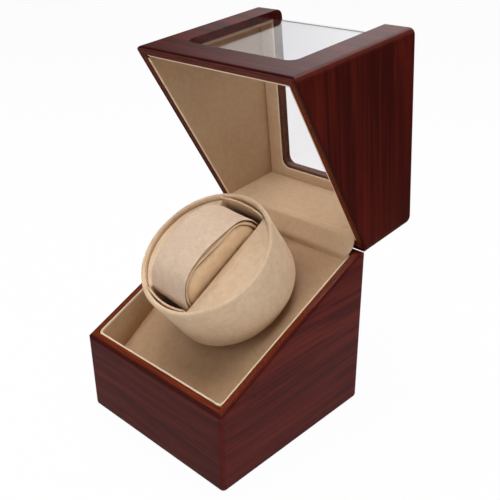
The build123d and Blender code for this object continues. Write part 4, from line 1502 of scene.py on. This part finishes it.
@dataclass
class Lining:
    """Cloth lining of the base, the deck and the lid."""

    thickness: float = 1.8 * MM
    edge: float = 1.1 * MM
    corner: float = 2.4 * MM
    proud: float = 0.3 * MM
    panel_round: float = 0.7 * MM
    window_half: float = 44.0 * MM
    window_rear: float = 47.6 * MM
    window_sill: float = 71.9 * MM
    window_round: float = 6.0 * MM
    seam_level: float = 1.5 * MM
    thinned_by: float = 0.75 * MM
    hinge_reach: float = 3.5 * MM
    hinge_crease: tuple[float, float] = (60.6 * MM, 119.75 * MM)
    hinge_far: tuple[float, float] = (66.5 * MM, 120.3 * MM)
    hinge_eases: tuple[float, float] = (1.6 * MM, 1.2 * MM)
    hinge_spread: float = 1.7 * MM
    hinge_cloth: float = 0.6 * MM

    def base_ring(self, cloth: bpy.types.Material) -> None:
        """Lines the base's four walls with one band whose top edge is rolled.

        Args:
            cloth: Finish.
        """
        outer = self._plan(0.0)
        inner = self._plan(self.thickness)
        rows = []
        for share, drop in self._profile():
            row = []
            for near, far in zip(outer, inner):
                place = near.lerp(far, share)
                under_hinge = place.y > CASE.inner_rear - self.hinge_reach
                top = CASE.seam(place.y) + (-self.proud if under_hinge else self.proud)
                foot = CASE.deck(place.y) + 0.1 * MM
                height = foot if drop is None else max(top - drop, foot)
                row.append(Vector((place.x, place.y, height)))
            rows.append(row)
        piece = solid("base_lining", *skin(rows, around=True), cloth)
        ruffle(piece, 30 * MM, 0.05 * MM, 3.0)
        liners = ("base_side_liners", "base_front_liner", "base_rear_liner")
        settled(piece, "base", "suede", 0.9, *liners)

    def _profile(self) -> list[tuple[float, float | None]]:
        """Section of the band: share from its outer to its inner face and drop from the top.

        Returns:
            The section, where no drop means the deck.
        """
        edge = self.edge / self.thickness
        half = self.edge / 2
        section: list[tuple[float, float | None]] = [(0.0, None), (0.0, 6 * MM), (0.0, 2 * MM)]
        steps = 8
        for i in range(steps + 1):
            angle = math.pi * i / steps
            section.append((edge * (0.5 - 0.5 * math.cos(angle)), half * (1 - math.sin(angle))))
        section += [(edge * 1.05, 2 * MM), (edge + (1 - edge) * 0.5, 5 * MM), (1.0, 9 * MM)]
        return section + [(1.0, 14 * MM), (1.0, None)]

    def _plan(self, distance: float) -> list[Vector]:
        """Rounded rectangle inside the base's walls, drawn in by a distance.

        Args:
            distance: Distance.

        Returns:
            Its points.
        """
        x = CASE.inner_x - distance
        rear = CASE.inner_rear - distance
        front = CASE.inner_front + distance
        radius = max(self.corner - distance, 0.8 * MM)
        places = []
        sides = ((x, rear, 0), (-x, rear, 90), (-x, front, 180), (x, front, 270))
        for corner_x, corner_y, start in sides:
            middle = Vector((corner_x - math.copysign(radius, corner_x), 0))
            middle.y = corner_y - math.copysign(radius, corner_y - (rear + front) / 2)
            for i in range(7):
                places.append(middle + turned(math.radians(start + 15 * i)) * radius)
        dense = []
        for i, place in enumerate(places):
            following = places[(i + 1) % len(places)]
            parts = max(1, round((following - place).length / (4 * MM)))
            dense += [place.lerp(following, k / parts) for k in range(parts)]
        return evenly(dense, 360)

    def hinge_cover(self, cloth: bpy.types.Material) -> None:
        """Cloth that runs over the hinge gap from the base's lining to the lid's.

        Args:
            cloth: Finish.
        """
        near = CASE.inner_rear - self.thickness
        seam = CASE.seam(near)
        low = Vector((near - 0.2 * MM, seam - 5 * MM))
        lip = Vector((near - 0.35 * MM, seam + 0.2 * MM))
        crease = Vector(self.hinge_crease)
        line = eased_line([low, lip, crease, Vector(self.hinge_far)], self.hinge_eases)
        half = CASE.inner_x - self.thickness - 0.1 * MM
        rows = []
        for place in line:
            free = min(max((place.y - seam) / (crease.y - seam), 0.0), 1.0)
            wide = half + self.hinge_spread * math.sin(math.pi * free) ** 0.6
            rows.append([Vector((-wide + 2 * wide * i / 60, place.x, place.y)) for i in range(61)])
        piece = solid("hinge_cover", *skin(rows, ring=False), cloth)
        thick = piece.modifiers.new("thick", "SOLIDIFY")
        thick.thickness = self.hinge_cloth
        thick.offset = 0.0
        length = sum((b - a).length for a, b in zip(line, line[1:]))
        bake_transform(piece)
        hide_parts("hinge_cloth")

    def _window(self, top: bool) -> bpy.types.Mesh:
        """Room that the lining leaves free round the window, with the lid open.

        Args:
            top: The top's opening, else the front's.

        Returns:
            The room.
        """
        half, reach = self.window_half, self.window_round
        far = self.window_rear if top else -self.window_sill
        outline = [(half, -0.2), (half, far - reach)]
        for i in range(1, 7):
            angle = math.pi / 2 * i / 6
            x = half - reach + reach * math.cos(angle)
            outline.append((x, far - reach + reach * math.sin(angle)))
        outline += [(-x, y) for x, y in reversed(outline)]
        levels = (150 * MM, 162 * MM) if top else (-62 * MM, -52 * MM)
        count = len(outline)
        points = []
        for level in levels:
            for x, along in outline:
                place = Vector((x, along, level)) if top else Vector((x, level, -along))
                points.append(CASE.opening @ place)
        faces = [tuple(range(count)), tuple(range(2 * count - 1, count - 1, -1))]
        faces += [(i, i + count, (i + 1) % count + count, (i + 1) % count) for i in range(count)]
        mesh = bpy.data.meshes.new("window_room")
        mesh.from_pydata([tuple(point) for point in points], [], faces)
        with edited(mesh) as work:
            bmesh.ops.recalc_face_normals(work, faces=work.faces)
        return mesh

    def build(self) -> None:
        """Makes the lining and dresses the deck."""
        dress("deck_panel", LINING.material())
        self.base_ring(BASE_LINING.material())
        hinge_cloth = HINGE_CLOTH.material()
        self.hinge_cover(hinge_cloth)
        lid_cloth = LID_LINING.material()
        for node, cloth in (
            ("lid_front_liner", lid_cloth), ("lid_top_liner", lid_cloth),
            ("lid_rear_liner", hinge_cloth), ("lid_side_liners", LID_SIDES_SHADED.material()),
        ):
            mesh = copied(node)
            if node in ("lid_front_liner", "lid_top_liner"):
                mesh = pierced(mesh, self._window(node == "lid_top_liner"))
            thinned(mesh, self.seam_level, self.thinned_by)
            name = node.replace("liner", "lining")
            piece = softened_panel(name, mesh, self.panel_round, cloth)
            settled(piece, "lid", "suede", 0.9, node)


@dataclass
class Drum:
    """Padded drum that turns, with half-moon pads on both sides of its slot."""

    rim: float = 44.5 * MM
    back: float = 43.4 * MM
    wall: float = 3.0 * MM
    floor: float = 3.0 * MM
    bore: float = 7.1 * MM
    back_round: float = 3.0 * MM
    pad_gap: float = 0.3 * MM
    pad_recess: float = 2.0 * MM
    pad_crown: float = 0.5 * MM
    held_depth: float = 4.5 * MM
    pad_swell: float = 0.6 * MM
    right_chord: tuple[float, float] = (17.5 * MM, math.radians(-0.2))
    left_chord: tuple[float, float] = (-17.4 * MM, math.radians(-0.7))
    liner: float = 1.2 * MM
    flap_top: float = -0.7 * MM
    flaps: tuple[tuple[int, float, float, float, float], ...] = (
        (1, -19.0 * MM, 17.2 * MM, 1.9 * MM, 1.0 * MM),
        (-1, -17.0 * MM, 17.2 * MM, 0.9 * MM, 0.3 * MM),
    )
    pad_edge: float = 1.1 * MM
    cushion_half: float = 17.6 * MM
    cushion_edge: float = 1.2 * MM
    cushion_top: float = -31.7 * MM
    cushion_foot: float = -36.3 * MM

    def cover(self, cloth: bpy.types.Material) -> None:
        """Turned cup covered in cloth, with a rolled rim.

        Args:
            cloth: Finish.
        """
        depth = CASE.drum_depth
        lip = self.wall / 2
        inner = self.rim - self.wall
        profile = []
        for i in range(13):
            angle = math.pi * i / 12
            profile.append((self.rim - lip + lip * math.cos(angle), -lip + lip * math.sin(angle)))
        for i in range(1, 16):
            profile.append((inner, -lip - (depth - self.floor - lip) * i / 15))
        for i in range(1, 13):
            profile.append((inner + (self.bore - inner) * i / 12, self.floor - depth))
        profile.append((self.bore, -depth))
        start = self.back - self.back_round
        for i in range(1, 13):
            profile.append((self.bore + (start - self.bore) * i / 12, -depth))
        for i in range(1, 9):
            angle = -math.pi / 2 + math.pi / 2 * i / 8
            x = start + self.back_round * math.cos(angle)
            profile.append((x, self.back_round - depth + self.back_round * math.sin(angle)))
        run = depth - self.back_round - lip
        for i in range(1, 22):
            share = i / 22
            x = self.back + (self.rim - self.back) * share
            profile.append((x, self.back_round - depth + run * share))
        around = 240
        rows = []
        for radius, z in profile:
            turns = [2 * math.pi * i / around for i in range(around)]
            rows.append([Vector((radius * math.cos(a), radius * math.sin(a), z)) for a in turns])
        piece = solid("drum_cover", *self._stood(skin(rows, around=True)), cloth)
        ruffle(piece, 19 * MM, 0.35 * MM, 5.0)
        ruffle(piece, 7 * MM, 0.10 * MM, 9.0)
        settled(piece, "drum", "suede", 0.9, "drum_cup")

    def pads(self, cloth: bpy.types.Material) -> None:
        """Half-moon pads that fill the drum on both sides of the slot.

        Args:
            cloth: Finish.
        """
        for name, chord in (("left", self.left_chord), ("right", self.right_chord)):
            loop = self._half_moon(chord)
            middle = sum(loop, Vector((0, 0))) / len(loop)
            foot = self.floor + self.pad_gap - CASE.drum_depth
            top = -self.pad_recess
            edge = self.pad_edge
            rows = [[Vector((*p, foot)) for p in loop]]
            for i in range(1, 9):
                rows.append([Vector((*p, foot + (top - edge - foot) * i / 8)) for p in loop])
            for i in range(1, 7):
                angle = math.pi / 2 * i / 6
                ring = inset(loop, edge * (1 - math.cos(angle)))
                rows.append([Vector((*p, top - edge + edge * math.sin(angle))) for p in ring])
            ring = inset(loop, edge)
            for i in range(1, 15):
                share = i / 15
                rise = self.pad_crown * share * share * (3 - 2 * share)
                rows.append([Vector((*p.lerp(middle, share), top + rise)) for p in ring])
            piece = solid(f"half_moon_{name}", *self._stood(skin(rows)), cloth)
            back = CASE.drum.inverted()
            held = [float((back @ vertex.co).z < -self.held_depth) for vertex in piece.data.vertices]
            plumped(piece, held, self.pad_swell)
            ruffle(piece, 15 * MM, 0.12 * MM, 11.0)
            settled(piece, "drum", "suede", 0.9, f"slot_block_{name}")

    def _half_moon(self, chord: tuple[float, float]) -> list[Vector]:
        """Outline of a pad between the cup's wall and a chord at a place and a turn.

        Args:
            chord: Place and turn.

        Returns:
            The outline.
        """
        place, turn = chord
        radius = self.rim - self.wall - self.pad_gap
        along = Vector((math.sin(turn), math.cos(turn)))
        start = Vector((place, 0))
        lean = start.dot(along)
        reach = math.sqrt(lean**2 + radius**2 - start.length_squared)
        low = start + along * (-lean - reach)
        high = start + along * (-lean + reach)
        first = math.atan2(high.y, high.x)
        last = math.atan2(low.y, low.x)
        if place < 0 and last < 0:
            last += 2 * math.pi
        loop = [low.lerp(high, i / 60) for i in range(60)]
        loop += arc(radius, first, last, 100)
        return softened(evenly(loop, 240), 3)

    def slot_strips(self, cloth: bpy.types.Material) -> None:
        """Curved strips that line the cup at both ends of the slot.

        Args:
            cloth: Finish.
        """
        radius = self.rim - self.wall - self.pad_gap - self.liner / 2
        foot = self.floor + self.pad_gap - CASE.drum_depth
        points: list[Vector] = []
        faces: list[tuple[int, ...]] = []
        round_off = self.liner / 2
        for end, low, high, away, lift in self.flaps:
            angles = [math.acos(x / radius) for x in (low, high)]
            section = [(round_off, foot)]
            for i in range(9):
                angle = math.pi * i / 8
                section.append((round_off * math.cos(angle), round_off * (math.sin(angle) - 1)))
            section.append((-round_off, foot))
            rows = []
            columns = 40
            for i in range(columns + 1):
                share = i / columns
                angle = angles[0] + (angles[1] - angles[0]) * share
                top = self.flap_top + lift * (1 - share) ** 2
                direction = Vector((math.cos(angle), end * math.sin(angle)))
                inward = away * math.sin(math.pi * share)
                row = []
                for off, z in section:
                    height = z if z == foot else z + top
                    fallen = inward * min(max((height - foot) / (12 * MM), 0.0), 1.0)
                    row.append(Vector((*(direction * (radius - fallen + off)), height)))
                rows.append(row)
            made, made_faces = skin(rows)
            start = len(points)
            points += made
            faces += [tuple(start + k for k in face) for face in made_faces]
        piece = solid("slot_strips", *self._stood((points, faces)), cloth)
        settled(piece, "drum", "suede", 0.8, "slot_liner")

    def cushion(self, cloth: bpy.types.Material) -> None:
        """Pad in the bottom of the slot, under the pillow.

        Args:
            cloth: Finish.
        """
        radius = self.rim - self.wall - 2 * self.pad_gap - self.liner
        half = self.cushion_half
        reach = math.sqrt(radius**2 - half**2)
        loop: list[Vector] = []
        for side in (-1, 1):
            loop += [Vector((side * half, side * reach * (i / 10 - 1))) for i in range(20)]
            first = math.atan2(side * reach, side * half)
            last = math.atan2(side * reach, -side * half)
            loop += arc(radius, first, last, 20)
        loop = softened(evenly(loop, 160), 3)
        edge = self.cushion_edge
        rows = [[Vector((*p, self.cushion_foot)) for p in loop]]
        rows.append([Vector((*p, self.cushion_top - edge)) for p in loop])
        for i in range(1, 4):
            angle = math.pi / 2 * i / 3
            ring = inset(loop, edge * (1 - math.cos(angle)))
            height = self.cushion_top - edge + edge * math.sin(angle)
            rows.append([Vector((*p, height)) for p in ring])
        ring = inset(loop, edge)
        for i in range(1, 9):
            rows.append([Vector((*(p * (1 - i / 9)), self.cushion_top)) for p in ring])
        piece = solid("bottom_cushion", *self._stood(skin(rows)), cloth)
        settled(piece, "drum", "suede", 0.8, "slot_cushion")

    @staticmethod
    def _stood(shape: tuple[list, list]) -> tuple[list, list]:
        """Moves points from the drum's frame to the case's.

        Args:
            shape: Points and faces.

        Returns:
            The moved points, and the faces.
        """
        points, faces = shape
        frame_of_drum = CASE.drum
        return [frame_of_drum @ point for point in points], faces

    def build(self) -> None:
        """Makes the drum."""
        cloth = DRUM_CLOTH.material()
        self.cover(cloth)
        self.pads(cloth)
        self.slot_strips(cloth)
        self.cushion(cloth)


@dataclass
class Pillow:
    """Watch pillow: a strip round its edge and two end panels."""

    half: float = 17.0 * MM
    flat_half: float = 16.9 * MM
    around: int = 240
    panel_middle: float = -8.4 * MM
    dip_middle: float = -3.0 * MM
    dip_width: float = 11.0 * MM
    dip_depth: float = 1.9 * MM
    held_half: float = 16.1 * MM
    swell: float = 0.4 * MM
    panel_narrowing: float = 0.55
    seam_x: float = 15.45 * MM
    crevices: tuple[int, ...] = (1, 2, 3, 9, 10)
    right_edge: tuple[tuple[float, float], ...] = (
        (-33.2, -3.5), (-30.2, 4.6), (-25.0, 11.0), (-18.5, 14.5), (-10.5, 15.8), (-2.0, 15.8),
        (6.5, 14.5), (15.5, 12.9), (22.5, 10.7), (27.6, 6.2), (31.2, -2.0), (32.0, -14.0),
        (22.0, -26.5), (0.0, -31.2), (-22.0, -26.5), (-32.5, -14.5),
    )
    left_edge: tuple[tuple[float, float], ...] = (
        (-34.6, -3.6), (-32.0, 2.5), (-27.0, 8.0), (-20.4, 11.4), (-11.5, 13.1), (-2.5, 13.9),
        (6.0, 13.9), (14.0, 12.8), (21.5, 9.3), (27.6, 4.0), (31.8, -3.2), (32.4, -14.5),
        (22.0, -26.5), (0.0, -31.2), (-22.0, -26.5), (-32.8, -14.5),
    )
    seam: tuple[tuple[float, float], ...] = (
        (-30.6, -4.5), (-28.4, 3.2), (-24.4, 8.6), (-18.8, 12.0), (-12.0, 12.4), (-3.5, 11.4),
        (5.0, 10.6), (13.5, 10.7), (19.5, 9.2), (24.2, 5.6), (28.0, -1.8), (28.4, -13.0),
        (19.5, -23.5), (0.0, -27.2), (-19.5, -23.5), (-28.8, -13.0),
    )

    @cached_property
    def _loops(self) -> tuple[list[Vector], list[Vector], list[Vector]]:
        """The left edge, the right edge and the way from an edge to its seam.

        Returns:
            Three chains with a place or a way for every point of a ring.
        """
        left, right, seam = (
            [p * MM for p in closed_curve(points, self.around)]
            for points in (self.left_edge, self.right_edge, self.seam)
        )
        return left, right, [s - r for s, r in zip(seam, right)]

    def _ring(
        self, x: float, share: float, shrink: float = 0.0, hollow: float = 0.0
    ) -> list[Vector]:
        """Ring of points round the pillow.

        Args:
            x: Place along the pillow.
            share: Share of the way in from the edge to the seam.
            shrink: Share of the way from there to the middle of the panel.
            hollow: Depth of the dip in the middle of the end.

        Returns:
            The ring, in the case's frame.
        """
        stand = CASE.drum
        across = min(max((x / self.half + 1) / 2, 0.0), 1.0)
        proud = max(abs(x) - self.flat_half, 0.0)
        ring = []
        for left, right, inward in zip(*self._loops):
            place = left.lerp(right, across) + inward * share
            middle = Vector((place.x * self.panel_narrowing, self.panel_middle))
            place = place.lerp(middle, shrink)
            risen = min(max((place.y + 1 * MM) / (5 * MM), 0.0), 1.0)
            spread = (place.x - self.dip_middle) / self.dip_width
            dip = hollow * math.exp(-(spread**2)) if place.y > 0 else 0.0
            out = x - math.copysign(proud * (1 - risen) + dip, x)
            ring.append(stand @ Vector((out, place.x, place.y)))
        return ring

    def strip(self, cloth: bpy.types.Material) -> None:
        """Band of cover cloth round the pillow's edge.

        Args:
            cloth: Finish.
        """
        right = (
            (8.0, -0.20), (12.5, -0.30), (14.6, -0.31), (15.6, -0.29), (16.3, -0.24), (16.7, -0.18),
            (16.75, -0.12), (16.5, -0.07), (15.7, -0.04), (8.0, -0.02),
        )
        left = (
            (8.0, -0.02), (15.2, 0.20), (16.5, 0.16), (16.75, 0.10), (16.6, 0.04), (16.1, 0.0),
            (15.3, -0.03), (14.0, -0.05), (12.0, -0.06), (8.0, -0.07),
        )
        section = [(0.0, -0.13), *right, (0.0, -0.02), *((-x, share) for x, share in left)]
        rows = [self._ring(x * MM, share) for x, share in section]
        piece = solid("pillow_wrap", *skin(rows, around=True), cloth)
        ruffle(piece, 13 * MM, 0.25 * MM, 2.0)
        settled(piece, "pillow", "cushion", 0.8, "pillow_strip")

    def body(self, cloth: bpy.types.Material) -> None:
        """Stuffed body whose two ends show a band, a seam and a crowned panel.

        Args:
            cloth: Finish.
        """
        end = (
            (13.0, 0.12, 0.0), (14.6, 0.14, 0.0), (15.5, 0.20, 0.0), (16.1, 0.29, 0.0),
            (16.5, 0.40, 0.0), (16.75, 0.54, 0.0), (16.75, 0.68, 0.0), (16.4, 0.82, 0.0),
            (15.7, 0.92, 0.0), (15.2, 0.98, 0.005), (15.7, 1.0, 0.025), (16.4, 1.0, 0.05),
            (16.9, 1.0, 0.10), (17.2, 1.0, 0.18), (17.45, 1.0, 0.30), (17.65, 1.0, 0.46),
            (17.75, 1.0, 0.64), (17.8, 1.0, 0.82), (17.8, 1.0, 0.97),
        )
        ends = []
        for x, share, shrink in end:
            dip = self.dip_depth * max(0.0, 1 - share / 0.6) if shrink == 0 else 0.0
            ends.append((x * MM, share, shrink, dip))
        rows = [self._ring(-x, *bend) for x, *bend in reversed(ends)]
        rows += [self._ring(x * MM, 0.08) for x in (-8.0, -3.0, 3.0, 8.0)]
        rows += [self._ring(x, *bend) for x, *bend in ends]
        piece = solid("pillow_body", *skin(rows), cloth)
        back = CASE.drum.inverted()
        held = [float(abs((back @ vertex.co).x) < self.held_half) for vertex in piece.data.vertices]
        plumped(piece, held, self.swell)
        ruffle(piece, 13 * MM, 0.2 * MM, 2.0)
        # Painted shade: the bands in the groove and the seam at both ends take the darker cloth.
        bands = self._crevices(len(ends), len(rows) - 1)
        darkened(piece, self.around, bands, SEAM_PAINTED_SHADE.material())
        settled(piece, "pillow", "cushion", 0.8, "pillow_core", "pillow_end_panels")
        self.stitches()

    def stitches(self) -> None:
        """Stitches along the seams of the two panels."""
        paths = [self._ring(x, 0.99, 0.01) for x in (self.seam_x, -self.seam_x)]
        seam = StitchedSeam(pitch=1.5 * MM, thread=0.14 * MM, slender=4.4)
        sewn = seam.along("pillow_stitches", paths, THREAD.material())
        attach(sewn, "pillow")

    def _crevices(self, rings: int, last: int) -> list[int]:
        """Bands of rings that lie in the groove or the seam at both ends.

        Args:
            rings: Rings at each end.
            last: Number of the last ring.

        Returns:
            The bands' numbers.
        """
        right = [last - rings + i for i in self.crevices]
        return right + [last - 1 - i for i in right]

    def build(self) -> None:
        """Makes the pillow."""
        self.strip(PILLOW_CLOTH.material())
        self.body(PILLOW_PANEL.material())


def main() -> None:
    """Builds the watch winder piece by piece."""
    logging.basicConfig(level=logging.INFO, format="%(message)s")
    for part in (Studio(), Case(), Hardware(), Lining(), Drum(), Pillow()):
        part.build()
        log.info("built %s", type(part).__name__.lower())


if __name__ == "__main__":
    main()
